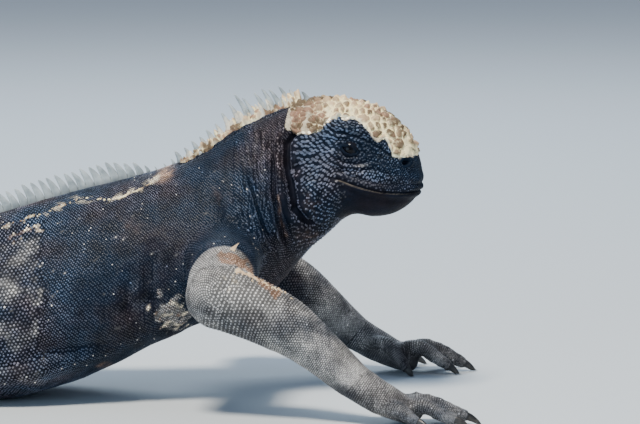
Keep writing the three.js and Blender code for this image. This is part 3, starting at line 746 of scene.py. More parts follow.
def markings(points):
    """Three masks: old pale skin, warm tan skin, and salt, which also carries painted highlights on the
    right elbow and along the lower lip. Points in millimetres.
    """
    straight = straightened(points)
    a, y, z = straight.T
    right = y < 0
    x = points[:, 0]
    wide, crown = section_at(a)[:, :2].T
    rough = wander(points, 14, 3)
    finer = wander(points, 4, 4)
    grit = wander(points, 1.9, 5)
    blots = wander(points, 6, 7)
    limb = smoothstep(np.abs(y) - wide + 2 * rough, 5, 12)
    fore = smoothstep(np.abs(y) + 3 * rough, 79, 86) * (x > -60)

    old = smoothstep(shed_front(points, straight), 0, 3)
    old *= smoothstep(z + 8 * rough, 32, 44) * (1 - smoothstep(z - crown + 6 * rough, -20, -12))
    old = np.where(right, old, old * smoothstep(rough, -0.15, 0.0))
    old *= 0.44 + 0.5 * rough + 0.25 * finer
    roll = smoothstep(-a, 90, 110) * smoothstep(-z, -40, -26) * smoothstep(rough, -0.3, 0.2)
    old = np.maximum(old, 0.3 * roll)
    worn = 0.9 - 0.3 * bell(z - 60, 16) + 0.22 * rough + 0.12 * finer
    worn -= 0.14 * smoothstep(-z, -46, -32) + 0.2 * smoothstep(-z, -28, -14)
    old = np.maximum(old * (1 - limb), fore * worn)
    old = np.maximum(old, 0.42 * limb * (x < -150))
    old = np.maximum(old, 0.85 * smoothstep(grit, 0.56, 0.66) * (z < 150) * (a < 45))
    lid = spot(a, z, (101, 151.6), (6, 1.2))
    old = np.maximum(old, 0.55 * lid)

    armpit = spot(x, z, (-24, 59), (13, 14)) * right * (1 - fore)
    patch = smoothstep(armpit + 0.7 * finer, 0.3, 0.7) * smoothstep(armpit, 0.04, 0.2)
    old = np.maximum(old, 0.8 * patch)
    ridge = line_distance(x, z, [[8, 101], [22, 97], [34, 87], [42, 80]])
    ridge = smoothstep(bell(ridge, 3.4) * (1 + 0.9 * finer), 0.4, 0.7) * right * fore
    torn = line_distance(x, z, [[-126, 105], [-117, 109], [-108, 111]])
    torn = 0.55 * smoothstep(bell(torn, 3.0) * (1 + 1.6 * finer), 0.35, 0.8) * right * (1 - limb)
    belly = 0.6 * spot(x, z, (-68, 24), (7, 5)) * right
    crestwards = spot(a, z - crown, (-30, -3), (7, 5))
    throat = spot(a, z, (64, 104), (14, 10)) * 0.4
    ribs = bell(line_distance(a, z, [[49, 132], [50, 118], [53, 106]]), 2.2) * 0.6
    shoulder = 0.3 * spot(x, z, (2, 104), (16, 6)) * right
    warm = np.maximum.reduce([patch * (0.35 + 0.7 * grit), ridge, torn, belly, crestwards])
    jowl = 0.36 * spot(a, z, (69, 127), (11, 12))
    rust = 0.33 * spot(x, z, (6, 131), (13, 11))
    plum = 0.3 * spot(x, z, (-51, 114), (19, 13))
    warm = np.maximum.reduce([warm, throat, ribs, shoulder, jowl, rust, plum]) * (0.9 + 0.6 * finer)
    warm = np.maximum(warm, 0.2 * smoothstep(wander(points, 26, 6), 0.12, 0.4))
    jaw = smoothstep(a, 78, 90) * smoothstep(-z, -140, -134)
    warm = warm * (1 - jaw) + 0.3 * jaw * bell(z - 118, 4)

    tail_line = [[-300, -9], [-210, -8], [-136, -7], [-104, -6], [-83, -4]]
    beside = line_distance(a, z - crown, [*tail_line, [-61, -9], [-45, -7], [-35, -3]])
    salt = 0.72 * bell(beside, 2.8) * smoothstep(rough + 1.4 * finer, -0.4, 0.3) * (np.abs(y) > 3)
    salt = np.maximum(salt, 0.8 * patch * smoothstep(blots, 0.12, 0.3))
    salt = np.maximum(salt, 1.3 * torn * smoothstep(finer, 0.05, 0.2))
    # painted highlight: pale spots on the right elbow that stand in for its glints, carried in the salt
    # mask
    glint = spot(x, z, (13, 88), (9, 8)) * right * fore
    salt = np.maximum(salt, 0.5 * smoothstep(glint + 0.7 * finer, 0.75, 0.95))
    # painted highlight: a thin pale line along the lower lip's edge, carried in the salt mask
    off = above_mouth(a, z)
    salt = np.maximum(salt, 0.42 * bell(off + 0.95, 0.62) * smoothstep(a, 82, 88))
    edge = z - crust_edge_at(a)[:, 0]
    crust = smoothstep(edge + 2 * finer, -1.0, 0.5) * (a > HEAD_BACK)
    salt = np.clip(np.maximum(salt, crust), 0, 1)
    return np.clip(np.stack([old, warm, salt], -1), 0, 1), straight


# ---- finishes


def node(tree, kind, **settings):
    made = tree.nodes.new(kind)
    for key, value in settings.items():
        setattr(made, key, value)
    return made


def wire(tree, source, target):
    tree.links.new(source, target)


def feed(tree, socket, value):
    """Joins another socket to a socket, or sets it to a plain value."""
    if isinstance(value, bpy.types.NodeSocket):
        wire(tree, value, socket)
    else:
        socket.default_value = value


def mix(tree, share, first, second, mode="MIX"):
    """A colour mix. Each of the three is a socket, or a plain value."""
    made = node(tree, "ShaderNodeMix", data_type="RGBA", blend_type=mode)
    for k, value in zip((0, 6, 7), (share, first, second)):
        feed(tree, made.inputs[k], value)
    return made.outputs[2]


def maths(tree, operation, *values):
    made = node(tree, "ShaderNodeMath", operation=operation)
    for socket, value in zip(made.inputs, values):
        feed(tree, socket, value)
    return made.outputs[0]


def spread(tree, value, low, high, to_low=0.0, to_high=1.0):
    made = node(tree, "ShaderNodeMapRange", clamp=True)
    wire(tree, value, made.inputs["Value"])
    for name, number in (
        ("From Min", low), ("From Max", high), ("To Min", to_low), ("To Max", to_high),
    ):
        made.inputs[name].default_value = number
    return made.outputs["Result"]


def grain(tree, vector, scale, detail=3.0, rough=0.55):
    made = node(tree, "ShaderNodeTexNoise")
    wire(tree, vector, made.inputs["Vector"])
    made.inputs["Scale"].default_value = scale
    made.inputs["Detail"].default_value = detail
    made.inputs["Roughness"].default_value = rough
    return made.outputs["Fac"]


def new_group(name, inputs, outputs):
    group = bpy.data.node_groups.new(name, "ShaderNodeTree")
    for label, kind, value in inputs:
        socket = group.interface.new_socket(label, in_out="INPUT", socket_type=kind)
        socket.default_value = value
    for label, kind in outputs:
        group.interface.new_socket(label, in_out="OUTPUT", socket_type=kind)
    return group, node(group, "NodeGroupInput"), node(group, "NodeGroupOutput")


def rgb(r, g, b):
    return (r, g, b, 1.0)


def grey_of(tree, value):
    made = node(tree, "ShaderNodeCombineColor")
    for k in range(3):
        wire(tree, value, made.inputs[k])
    return made.outputs[0]


def swing(tree, value, gain):
    """Noise as a swing round nought."""
    return maths(tree, "MULTIPLY", maths(tree, "SUBTRACT", value, 0.5), gain)


def object_place(tree):
    return node(tree, "ShaderNodeTexCoord").outputs["Object"]


def attribute(tree, name):
    return node(tree, "ShaderNodeAttribute", attribute_name=name)


def masks_of(tree, colour):
    """The three masks that a colour carries, as a list."""
    parts = node(tree, "ShaderNodeSeparateColor")
    wire(tree, colour, parts.inputs[0])
    return [parts.outputs[k] for k in range(3)]


def hide_colours():
    """The hide's colours: blue-black and brown-black ground, old grey skin, tan, and salt, whose pale
    colour also paints a few highlights.
    """
    group, given, out = new_group(
        "hide_colours",
        [(name, "NodeSocketColor", rgb(0, 0, 0)) for name in ("Marks", *SKIN_COLOURS)],
        [("Color", "NodeSocketColor"), ("Mottle", "NodeSocketFloat")],
    )
    where = object_place(group)
    broad = spread(group, grain(group, where, 22, 4), 0.43, 0.68)
    middle = grain(group, where, 95, 5, 0.65)
    fine = grain(group, where, 700, 4, 0.6)
    colour = mix(group, broad, given.outputs["Cool"], given.outputs["Brown"])
    masks = masks_of(group, given.outputs["Marks"])
    for mask, name, low in zip(masks, ("Old", "Tan", "Salt"), (0.15, 0.2, 0.2)):
        ragged = spread(group, maths(group, "ADD", mask, swing(group, middle, 0.5)), low, 0.85)
        share = spread(group, maths(group, "MULTIPLY", ragged, mask), 0, 0.8)
        colour = mix(group, share, colour, given.outputs[name])
    coarse_shade = spread(group, middle, 0.3, 0.7, 0.6, 1.45)
    fine_shade = spread(group, fine, 0.3, 0.7, 0.75, 1.25)
    shade = grey_of(group, maths(group, "MULTIPLY", coarse_shade, fine_shade))
    wire(group, mix(group, 1.0, colour, shade, "MULTIPLY"), out.inputs["Color"])
    wire(group, fine, out.inputs["Mottle"])
    return group


def new_finish(name):
    finish = bpy.data.materials.new(name)
    finish.use_nodes = True
    tree = finish.node_tree
    shader = next(n for n in tree.nodes if n.type == "BSDF_PRINCIPLED")
    return finish, tree, shader


def surface(tree, shader, colour, speck, roughness, height, strength, distance):
    """Gives a shader its colour, a roughness that follows specks, and a fine relief."""
    wire(tree, colour, shader.inputs["Base Color"])
    wire(tree, spread(tree, speck, 0.3, 0.7, *roughness), shader.inputs["Roughness"])
    bump = node(tree, "ShaderNodeBump")
    bump.inputs["Strength"].default_value = strength
    bump.inputs["Distance"].default_value = distance
    wire(tree, height, bump.inputs["Height"])
    wire(tree, bump.outputs["Normal"], shader.inputs["Normal"])


def hide_finish(name, colours, roughness, specular, tones=None, bump=0.5):
    """The hide's material. Tones is the darkest and lightest that a scale's own tone gives."""
    finish, tree, shader = new_finish(name)
    group = node(tree, "ShaderNodeGroup")
    group.node_tree = HIDE_COLOURS
    for label, value in colours.items():
        group.inputs[label].default_value = rgb(*value)
    wire(tree, attribute(tree, "marks").outputs["Color"], group.inputs["Marks"])
    colour = group.outputs["Color"]
    if tones:
        tone = spread(tree, attribute(tree, "tone").outputs["Fac"], 0, 1, *tones)
        colour = mix(tree, 1.0, colour, grey_of(tree, tone), "MULTIPLY")
    cells = node(tree, "ShaderNodeTexVoronoi", feature="F1")
    wire(tree, object_place(tree), cells.inputs["Vector"])
    cells.inputs["Scale"].default_value = 1100
    mottle = group.outputs["Mottle"]
    height = maths(tree, "ADD", cells.outputs["Distance"], mottle)
    surface(tree, shader, colour, mottle, roughness, height, bump, 0.0004)
    shader.inputs["Specular IOR Level"].default_value = specular
    return finish


def crust_finish():
    """Salt-crusted tubercles: pale where the salt lies in the furrows, browner on top."""
    finish, tree, shader = new_finish("salt_crust")
    where = object_place(tree)
    furrow, own, fringe = masks_of(tree, attribute(tree, "marks").outputs["Color"])
    speck = grain(tree, where, 420, 5, 0.7)
    patch = grain(tree, where, 60, 3)
    horn = mix(tree, spread(tree, own, 0.1, 0.9), rgb(0.13, 0.085, 0.045), rgb(0.82, 0.58, 0.34))
    pink = mix(tree, spread(tree, patch, 0.48, 0.62, 0, 0.7), horn, rgb(0.4, 0.22, 0.14))
    share = maths(tree, "ADD", furrow, swing(tree, speck, 2.2))
    salted = mix(tree, spread(tree, share, 0.16, 0.8), pink, rgb(1.0, 0.87, 0.52))
    shade = mix(tree, spread(tree, fringe, 0.3, 0.95), salted, rgb(1.0, 0.92, 0.66))
    surface(tree, shader, shade, speck, (0.9, 0.62), speck, 0.7, 0.0006)
    return finish


def horn_finish():
    """The crest's horn: grey-green, with a painted highlight along its edges, and salted on the nape.
    """
    finish, tree, shader = new_finish("crest_horn")
    where = object_place(tree)
    up, salt, edge = masks_of(tree, attribute(tree, "marks").outputs["Color"])
    speck = grain(tree, where, 520, 4, 0.65)
    streak = spread(tree, grain(tree, where, 120, 3), 0.35, 0.65)
    body = mix(tree, streak, rgb(0.24, 0.28, 0.295), rgb(0.47, 0.52, 0.525))
    # painted highlight: the edges of the blades, mostly the rear ones, made paler
    body = mix(tree, spread(tree, edge, 0.3, 1.0, 0, 0.85), body, rgb(0.6, 0.64, 0.6))
    body = mix(tree, spread(tree, up, 0.0, 0.3, 0.55, 0), body, rgb(0.035, 0.035, 0.035))
    share = maths(tree, "MULTIPLY", salt, spread(tree, speck, 0.3, 0.62, 0.35, 1.2))
    salted = mix(tree, spread(tree, share, 0.15, 0.8), body, rgb(0.8, 0.71, 0.55))
    surface(tree, shader, salted, speck, (0.42, 0.7), speck, 0.4, 0.0004)
    return finish


def claw_finish():
    finish, tree, shader = new_finish("black_claw")
    streak = grain(tree, object_place(tree), 260, 3)
    share = spread(tree, streak, 0.35, 0.7)
    colour = mix(tree, share, rgb(0.009, 0.009, 0.01), rgb(0.05, 0.045, 0.04))
    surface(tree, shader, colour, streak, (0.28, 0.5), streak, 0.25, 0.0003)
    return finish


def eye_finish():
    """A dark brown iris round a black pupil, under a wet surface."""
    finish, tree, shader = new_finish("wet_eye")
    off = attribute(tree, "gaze").outputs["Fac"]
    flecks = grain(tree, object_place(tree), 900, 4, 0.7)
    share = spread(tree, flecks, 0.35, 0.65)
    iris = mix(tree, share, rgb(0.002, 0.004, 0.009), rgb(0.008, 0.009, 0.014))
    inside = mix(tree, spread(tree, off, 0.34, 0.4), rgb(0.002, 0.002, 0.003), iris)
    colour = mix(tree, spread(tree, off, 0.62, 0.75), inside, rgb(0.008, 0.008, 0.012))
    wire(tree, colour, shader.inputs["Base Color"])
    wire(tree, spread(tree, flecks, 0.3, 0.7, 0.1, 0.18), shader.inputs["Roughness"])
    for name, value in (("Specular IOR Level", 0.06), ("Coat Weight", 0.16), ("Coat Roughness", 0.03)):
        shader.inputs[name].default_value = value
    return finish


# the Salt colour also paints the few highlights that the markings carry with the salt
SKIN_COLOURS = {
    "Cool": (0.003, 0.008, 0.018), "Brown": (0.011, 0.008, 0.011), "Old": (0.11, 0.105, 0.1),
    "Tan": (0.15, 0.09, 0.06), "Salt": (0.5, 0.42, 0.3),
}
SCALE_COLOURS = {
    "Cool": (0.043, 0.06, 0.094), "Brown": (0.072, 0.057, 0.064), "Old": (0.395, 0.375, 0.355),
    "Tan": (0.34, 0.225, 0.165), "Salt": (0.85, 0.76, 0.58),
}
HIDE_COLOURS = hide_colours()
hide = hide_finish("dark_hide", SKIN_COLOURS, (0.45, 0.7), 0.07)
scale_hide = hide_finish("scale_hide", SCALE_COLOURS, (0.36, 0.6), 0.34, (0.22, 2.3), 0.25)

# ---- the skin goes in, and everything else is set on it

skin = make_skin()
skin_marks, _ = markings(points_of(skin) / MM - ORIGIN)
set_colour(skin, "marks", skin_marks)
flesh_nodes = ["torso", "neck", "tail_base", "tail_middle", "tail_end", "tail_tip", "head", "lower_jaw"]
for leg in LEGS.values():
    flesh_nodes += leg["nodes"]
show(skin, "skin", "hide", hide, *flesh_nodes)

skin_points = points_of(skin)
skin_normals = normals_of(skin)
skin_faces = [list(p.vertices) for p in skin.polygons]
skin_tree = BVHTree.FromPolygons([Vector(p) for p in skin_points], skin_faces)


def on_skin(points):
    """Nearest places on the skin to points in millimetres: place, normal, distance."""
    places = np.zeros_like(points)
    normals = np.zeros_like(points)
    distances = np.full(len(points), 1e9)
    for i, point in enumerate(placed(points)):
        place, _, face, far = skin_tree.find_nearest(Vector(point), 0.02)
        if place is None:
            continue
        corners = skin_faces[face]
        weights = 1 / (1e-9 + ((skin_points[corners] - place) ** 2).sum(1))
        normals[i] = (skin_normals[corners] * weights[:, None]).sum(0)
        places[i] = place
        distances[i] = far
    return places / MM - ORIGIN, unit(normals), distances / MM


# ---- scales: small domes set in rows on the skin


def dome(name, sides):
    """One scale a unit across: a flat-bottomed dome with its rim just under the skin."""
    bm = bmesh.new()
    bmesh.ops.create_circle(bm, cap_ends=True, cap_tris=True, segments=sides, radius=1)
    for vert in bm.verts:
        far = math.hypot(vert.co.x, vert.co.y)
        vert.co.z = -0.22 if far > 0.5 else 0.5
    bmesh.ops.recalc_face_normals(bm, faces=bm.faces)
    if sum(f.normal.z for f in bm.faces) < 0:
        bmesh.ops.reverse_faces(bm, faces=bm.faces)
    bmesh.ops.triangulate(bm, faces=bm.faces)
    layer = bm.loops.layers.uv.new("OFBake")
    for face in bm.faces:
        face.smooth = True
        for loop in face.loops:
            loop[layer].uv = (loop.vert.co.x * 0.0015, loop.vert.co.y * 0.0015)
    mesh = bpy.data.meshes.new(name)
    bm.to_mesh(mesh)
    bm.free()
    template = bpy.data.objects.new(name, mesh)
    bpy.context.scene.collection.objects.link(template)
    return template


def planting(template):
    """Sets a copy of the template on each point, turned, sized and marked as the point says."""
    tree = bpy.data.node_groups.new("planting_" + template.name, "GeometryNodeTree")
    tree.interface.new_socket("Geometry", in_out="INPUT", socket_type="NodeSocketGeometry")
    tree.interface.new_socket("Geometry", in_out="OUTPUT", socket_type="NodeSocketGeometry")
    given, out = node(tree, "NodeGroupInput"), node(tree, "NodeGroupOutput")
    shape = node(tree, "GeometryNodeObjectInfo")
    shape.inputs["Object"].default_value = template

    def named(name):
        made = node(tree, "GeometryNodeInputNamedAttribute", data_type="FLOAT_VECTOR")
        made.inputs["Name"].default_value = name
        return made.outputs["Attribute"]

    copies = node(tree, "GeometryNodeInstanceOnPoints")
    wire(tree, given.outputs[0], copies.inputs["Points"])
    wire(tree, shape.outputs["Geometry"], copies.inputs["Instance"])
    wire(tree, named("turn"), copies.inputs["Rotation"])
    wire(tree, named("grow"), copies.inputs["Scale"])
    real = node(tree, "GeometryNodeRealizeInstances")
    wire(tree, copies.outputs[0], real.inputs[0])
    together = node(tree, "ShaderNodeVectorMath", operation="ADD")
    wire(tree, named("OFBake"), together.inputs[0])
    wire(tree, named("root"), together.inputs[1])
    store = node(tree, "GeometryNodeStoreNamedAttribute", data_type="FLOAT2", domain="CORNER")
    store.inputs["Name"].default_value = "OFBake"
    wire(tree, real.outputs[0], store.inputs["Geometry"])
    wire(tree, together.outputs[0], store.inputs["Value"])
    wire(tree, store.outputs[0], out.inputs[0])
    return tree


def turned_to(ahead, upwards):
    """Euler angles that turn X towards ahead and Z towards upwards."""
    x = unit(ahead - upwards * (ahead * upwards).sum(1)[:, None])
    y = np.cross(upwards, x)
    return np.stack(
        [
            np.arctan2(y[:, 2], upwards[:, 2]), -np.arcsin(np.clip(x[:, 2], -1, 1)),
            np.arctan2(x[:, 1], x[:, 0]),
        ],
        -1,
    )


def grow_scales(name, way, slot, finish, places, normals, ahead, sizes, roots, tones, marks):
    """A piece of many scales. Sizes are half length, half width and height in millimetres."""
    cloud = bpy.data.meshes.new(name + "_places")
    cloud.vertices.add(len(places))
    cloud.vertices.foreach_set("co", placed(places).astype(np.float32).ravel())
    for label, values in (
        ("turn", turned_to(ahead, normals)), ("grow", sizes * MM),
        ("root", np.column_stack([roots, np.zeros(len(roots))])),
    ):
        made = cloud.attributes.new(label, "FLOAT_VECTOR", "POINT")
        made.data.foreach_set("vector", values.astype(np.float32).ravel())
    made = cloud.attributes.new("tone", "FLOAT", "POINT")
    made.data.foreach_set("value", tones.astype(np.float32))
    set_colour(cloud, "marks", marks)
    holder = bpy.data.objects.new("holder", cloud)
    bpy.context.scene.collection.objects.link(holder)
    modifier = holder.modifiers.new("planting", "NODES")
    modifier.node_group = way
    graph = bpy.context.evaluated_depsgraph_get()
    mesh = bpy.data.meshes.new_from_object(holder.evaluated_get(graph), depsgraph=graph)
    bpy.data.objects.remove(holder)
    for label in ("turn", "grow", "root"):
        if label in mesh.attributes:
            mesh.attributes.remove(mesh.attributes[label])
    mesh.name = name
    return show(mesh, name, slot, finish)


bead = dome("bead", 6)
plate = dome("plate", 7)
bead_planting = planting(bead)
plate_planting = planting(plate)
draws = np.random.default_rng(7)
taken = []


def lattice(surface, start, end, count, stretch=1.0, slant=0.0, uneven=0.06, rows=0.289):
    """Staggered rings of scales on a tube: in diamonds, or in rows when rows is larger.

    Count is the number of scales round the tube, stretch the millimetres that one step along
    it is long, slant how far rows fall back down the sides, and uneven the scatter.
    Rows is the step between rings as a share of the distance between neighbours in one.
    Gives places, ways ahead, surface coordinates and the size of a scale's own place."""
    inside = round(count / math.sqrt(3)) if rows < 0.5 else count
    along, angle, pitches = [], [], []
    at, odd = start, 0
    dense = np.linspace(0, 2 * math.pi, 361)
    while at < end:
        ring = surface(np.full(361, at), dense)
        lengths = lengths_along(ring)
        spacing = lengths[-1] / inside
        wanted = (np.arange(inside) + 0.5 * odd + draws.normal(0, uneven, inside)) * spacing
        angles = np.interp(wanted % lengths[-1], lengths, dense)
        off = np.abs((angles - math.pi / 2 + math.pi) % (2 * math.pi) - math.pi)
        pitch = spacing * math.sqrt(rows / 0.866)
        astray = draws.normal(0, uneven, inside) * pitch / stretch
        along.append(at + slant * off + astray)
        angle.append(angles)
        pitches.append(np.full(inside, pitch))
        at += spacing * rows / stretch
        odd = 1 - odd
    along, angle, pitches = (np.concatenate(v) for v in (along, angle, pitches))
    here = surface(along, angle)
    ahead = surface(along + 0.5 / stretch, angle) - surface(along - 0.5 / stretch, angle)
    return here, unit(ahead), along, angle, pitches


def taken_places():
    """A search tree of the places where scales stand already."""
    places = np.concatenate(taken)
    tree = KDTree(len(places))
    for i, place in enumerate(places):
        tree.insert(place, i)
    tree.balance()
    return tree


def settle(here, ahead, pitches, reach=3.0, room=0.72):
    """Drops lattice places onto the skin, and leaves out those that others already hold."""
    places, normals, far = on_skin(here)
    good = (far < reach) & (places[:, 2] > 0.7)
    if taken:
        tree = taken_places()
        for i in np.nonzero(good)[0]:
            good[i] = tree.find(places[i])[2] > room * pitches[i]
    taken.append(places[good])
    return good, places, normals


def body_roots(along, turn):
    """Where scales of the body lie on the map that patterns are baked to."""
    return np.column_stack([(along - TAIL_TIP) / 1000, turn * BODY_SHELF])


def body_surface(along, angle):
    return posed(on_body(along, angle))


def flank_scales():
    """The trunk, neck and tail: slanting rows of beads, larger on the old skin of the flank."""
    found = []
    for start, end, count in (
        (VENT, -90, OLD_COUNT), (-132, NECK_BACK, FRESH_COUNT), (NECK_BACK, HEAD_BACK + 6, 200),
        (-420, VENT, 100), (-560, -420, 56), (-700, -560, 38), (-845, -700, 22),
    ):
        slant = 6.0 if start >= VENT else 0.0
        here, ahead, along, angle, pitch = lattice(
            body_surface, start - slant * 3.2, end, count, 1.0, slant
        )
        inside = (along >= start) & (along < end)
        if count in (OLD_COUNT, FRESH_COUNT):
            behind = shed_front(here, straightened(here)) > 0
            inside &= behind if count == OLD_COUNT else ~behind
        here, ahead, along, angle, pitch = (v[inside] for v in (here, ahead, along, angle, pitch))
        good, places, normals = settle(here, ahead, pitch, 6.0)
        roots = body_roots(along, angle / (2 * math.pi))
        found.append([v[good] for v in (places, normals, ahead, pitch, roots)])
    return [np.concatenate([f[k] for f in found]) for k in range(5)]


def head_scales():
    """The head below its crust: grains on the snout, long scales on the cheek."""
    here, ahead, along, angle, pitch = lattice(body_surface, HEAD_BACK + 6, 135, 106, 1.0, 0, 0.13)
    straight = straightened(here)
    a, y, z = straight.T
    beyond = eye_ring(straight)
    off = above_mouth(a, z)
    keep = z < crust_edge_at(a)[:, 0] + 1.0
    keep &= (beyond > 1.5) | (np.abs(y) < 9)
    keep &= ~((np.abs(off) < 1.2) & (a > MOUTH_CORNER))
    # the side of the lower jaw is smooth
    jaw = (off < 0) & (a > 89 + 0.3 * (z - 134) + 4 * wander(here, 5, 45))
    keep &= ~(jaw & (z > 117 + 2 * wander(here, 5, 44)))
    keep &= np.hypot(a - NOSTRIL_PLACE[0], z - NOSTRIL_PLACE[1]) > 2.6
    keep &= from_ear(a, z) > 2.4
    here, ahead, along, angle, pitch = (v[keep] for v in (here, ahead, along, angle, pitch))
    good, places, normals = settle(here, ahead, pitch)
    # the cheek's scales point away from the eye and lie over one another backwards
    a, z = straight[keep][:, 0], straight[keep][:, 2]
    cheek = cheek_share(a, z)[:, None]
    turn = path_at(np.array([HEAD_BACK + 20.0]))[1][0]
    level = np.array([math.cos(turn), math.sin(turn), 0])
    away = np.outer(EYE_PLACE[0] + 4 - a, level) + np.outer(EYE_PLACE[1] + 3 - z, [0, 0, 1])
    ahead = ahead * (1 - cheek) + unit(away) * cheek
    normals = unit(normals + 0.28 * ahead * cheek)
    roots = body_roots(along, angle / (2 * math.pi))
    return [v[good] for v in (places, normals, ahead, pitch, roots)]


def cheek_share(a, z):
    return smoothstep(-a, -90, -82) * smoothstep(z, 136, 143) * smoothstep(a, 55, 60)


def limb_scales(wanted):
    """The limbs and toes of the legs whose names start as wanted."""
    found = []
    for number, (name, leg) in enumerate(LEGS.items()):
        if not name.startswith(wanted):
            continue
        shelf = 0.5 + 0.125 * number
        thick = 1.0 if wanted == "fore" else 0.86
        parts = [
            (*leg["lower"], 0.0, round(54 * thick)), (*leg["sole"], 0.0, round(50 * thick)),
            *[(toe_curve(toe), toe_girths(toe), 0.01, 20) for toe in leg["toes"]],
            (*leg["upper"], 0.3, round(80 * thick)),
        ]
        left = 0.0
        for points, girths, start, count in parts:
            curve = curve_through(points, np.linspace(0, 1, 40))[0]
            length = np.linalg.norm(np.diff(curve, axis=0), axis=1).sum()

            here, ahead, along, angle, pitch = lattice(
                partial(limb_surface, points, girths), start, 1.0, count, length, 0.0, 0.05, 0.84
            )
            good, places, normals = settle(here, ahead, pitch, 5.0, 0.58)
            across = shelf + angle / (2 * math.pi) * 0.11
            roots = np.column_stack([left + along * length / 1200, across])
            left += length / 1200 + 0.01
            found.append([v[good] for v in (places, normals, ahead, pitch, roots)])
        # rings of scales round the point of the elbow or knee
        pitch = 1.7 * thick
        radii = np.array(leg["bend"])
        turns = np.arange(int(4 * math.pi * radii.mean() ** 2 / (0.866 * pitch**2)))
        rise_to = 1 - (2 * turns + 1) / len(turns)
        flat = np.sqrt(1 - rise_to**2) * np.exp(1j * GOLDEN_TURN * turns)
        ball = np.column_stack([flat.real, rise_to, flat.imag])
        here = np.array(leg["upper"][0][-1]) + ball * radii
        pitches = np.full(len(here), pitch)
        way = np.cross(ball, [0, 1, 0])
        good, places, normals = settle(here, way, pitches, 5.0, 0.8)
        roots = np.column_stack([left + 0.03 * (1 + ball[:, 0]), shelf + 0.05 * (1 + ball[:, 2])])
        found.append([v[good] for v in (places, normals, way, pitches, roots)])
    return [np.concatenate([f[k] for f in found]) for k in range(5)]


def filling_scales():
    """Fills what the rows left bare on trunk and limbs, such as round the roots of limbs."""
    bare = skin_points / MM - ORIGIN
    straight = straightened(bare)
    wanted = (straight[:, 0] > VENT) & (straight[:, 0] < HEAD_BACK) & (bare[:, 2] > 1.5)
    wanted &= np.abs(straight[:, 1]) > 10
    bare, normals, straight = bare[wanted], skin_normals[wanted], straight[wanted]
    pitch = np.full(len(bare), 1.8)
    tree = taken_places()
    held, kept = {}, []
    for i, place in enumerate(bare):
        if tree.find(place)[2] < 1.5:
            continue
        cell = tuple((place // 1.5).astype(int))
        around = [
            held.get((cell[0] + i_x, cell[1] + i_y, cell[2] + i_z))
            for i_x in (-1, 0, 1)
            for i_y in (-1, 0, 1)
            for i_z in (-1, 0, 1)
        ]
        if all(k is None or np.linalg.norm(bare[k] - place) > 1.4 for k in around):
            held[cell] = i
            kept.append(i)
    kept = np.array(kept)
    ahead = np.tile([1.0, 0.02, 0.0], (len(kept), 1))
    turn = np.arctan2(straight[kept, 2] - 60, straight[kept, 1]) / (2 * math.pi) % 1
    roots = body_roots(straight[kept, 0], turn)
    return bare[kept], normals[kept], ahead, pitch[kept], roots


def plant(name, found, slot, shape, shaped, parts=1):
    """Grows found places as pieces that each stay well under their share of triangles."""
    places, normals, ahead, pitch, roots = found
    marks, straight = markings(places)
    sizes, tones = shape(places, straight, pitch, marks)
    order = np.argsort(places[:, 0])
    for k, chosen in enumerate(np.array_split(order, parts)):
        grow_scales(
            f"{name}_{k + 1}" if parts > 1 else name, shaped, slot, scale_hide, places[chosen],
            normals[chosen], ahead[chosen], sizes[chosen], roots[chosen], tones[chosen],
            marks[chosen],
        )


def bead_shape(places, straight, pitch, marks):
    a, y, z = straight.T
    count = len(a)
    crown = section_at(a)[:, 1]
    tail = smoothstep(-a, 300, 420)
    limb = smoothstep(np.abs(y), section_at(a)[:, 0] + 4, section_at(a)[:, 0] + 14)
    crestwards = smoothstep(z - crown, -24, -10) * (1 - tail) * smoothstep(-a, 0, 30)
    neck = smoothstep(a, 10, 26)
    # the beads stand out most on the old skin, and hardly where the skin is fresh
    bold = np.clip(0.12 + 0.88 * smoothstep(-a, 68, 108), 0, 1)
    bold = np.maximum.reduce([bold, marks[:, 0], 0.5 * limb, 0.8 * crestwards, tail])
    luck = draws.random(count)
    wide = pitch * (0.41 + 0.04 * luck)
    high = pitch * (0.22 + 0.26 * bold) * (0.85 + 0.3 * draws.random(count))
    sizes = np.stack(
        [
            wide * (1 - 0.28 * crestwards + 0.25 * tail - 0.15 * neck),
            wide * (1 + 0.3 * crestwards + 0.1 * neck), high * (1 + 0.3 * tail),
        ],
        -1,
    )
    tones = bold * (0.24 + 0.4 * draws.random(count)) + 0.12 * draws.random(count)
    tones += 0.22 * smoothstep(-z, -46, -26) * smoothstep(-a, 50, 90)
    tones += 0.12 * crestwards + neck * (0.1 + 0.75 * draws.random(count) ** 4)
    tones = np.maximum(tones + 0.06, 0) * (1 + 0.9 * wander(places, 7, 40))
    bright = draws.random(count) > 0.9988 - 0.003 * bold
    tones = np.where(bright, 1.4, tones)
    sizes[bright] *= 1.2
    return sizes, tones


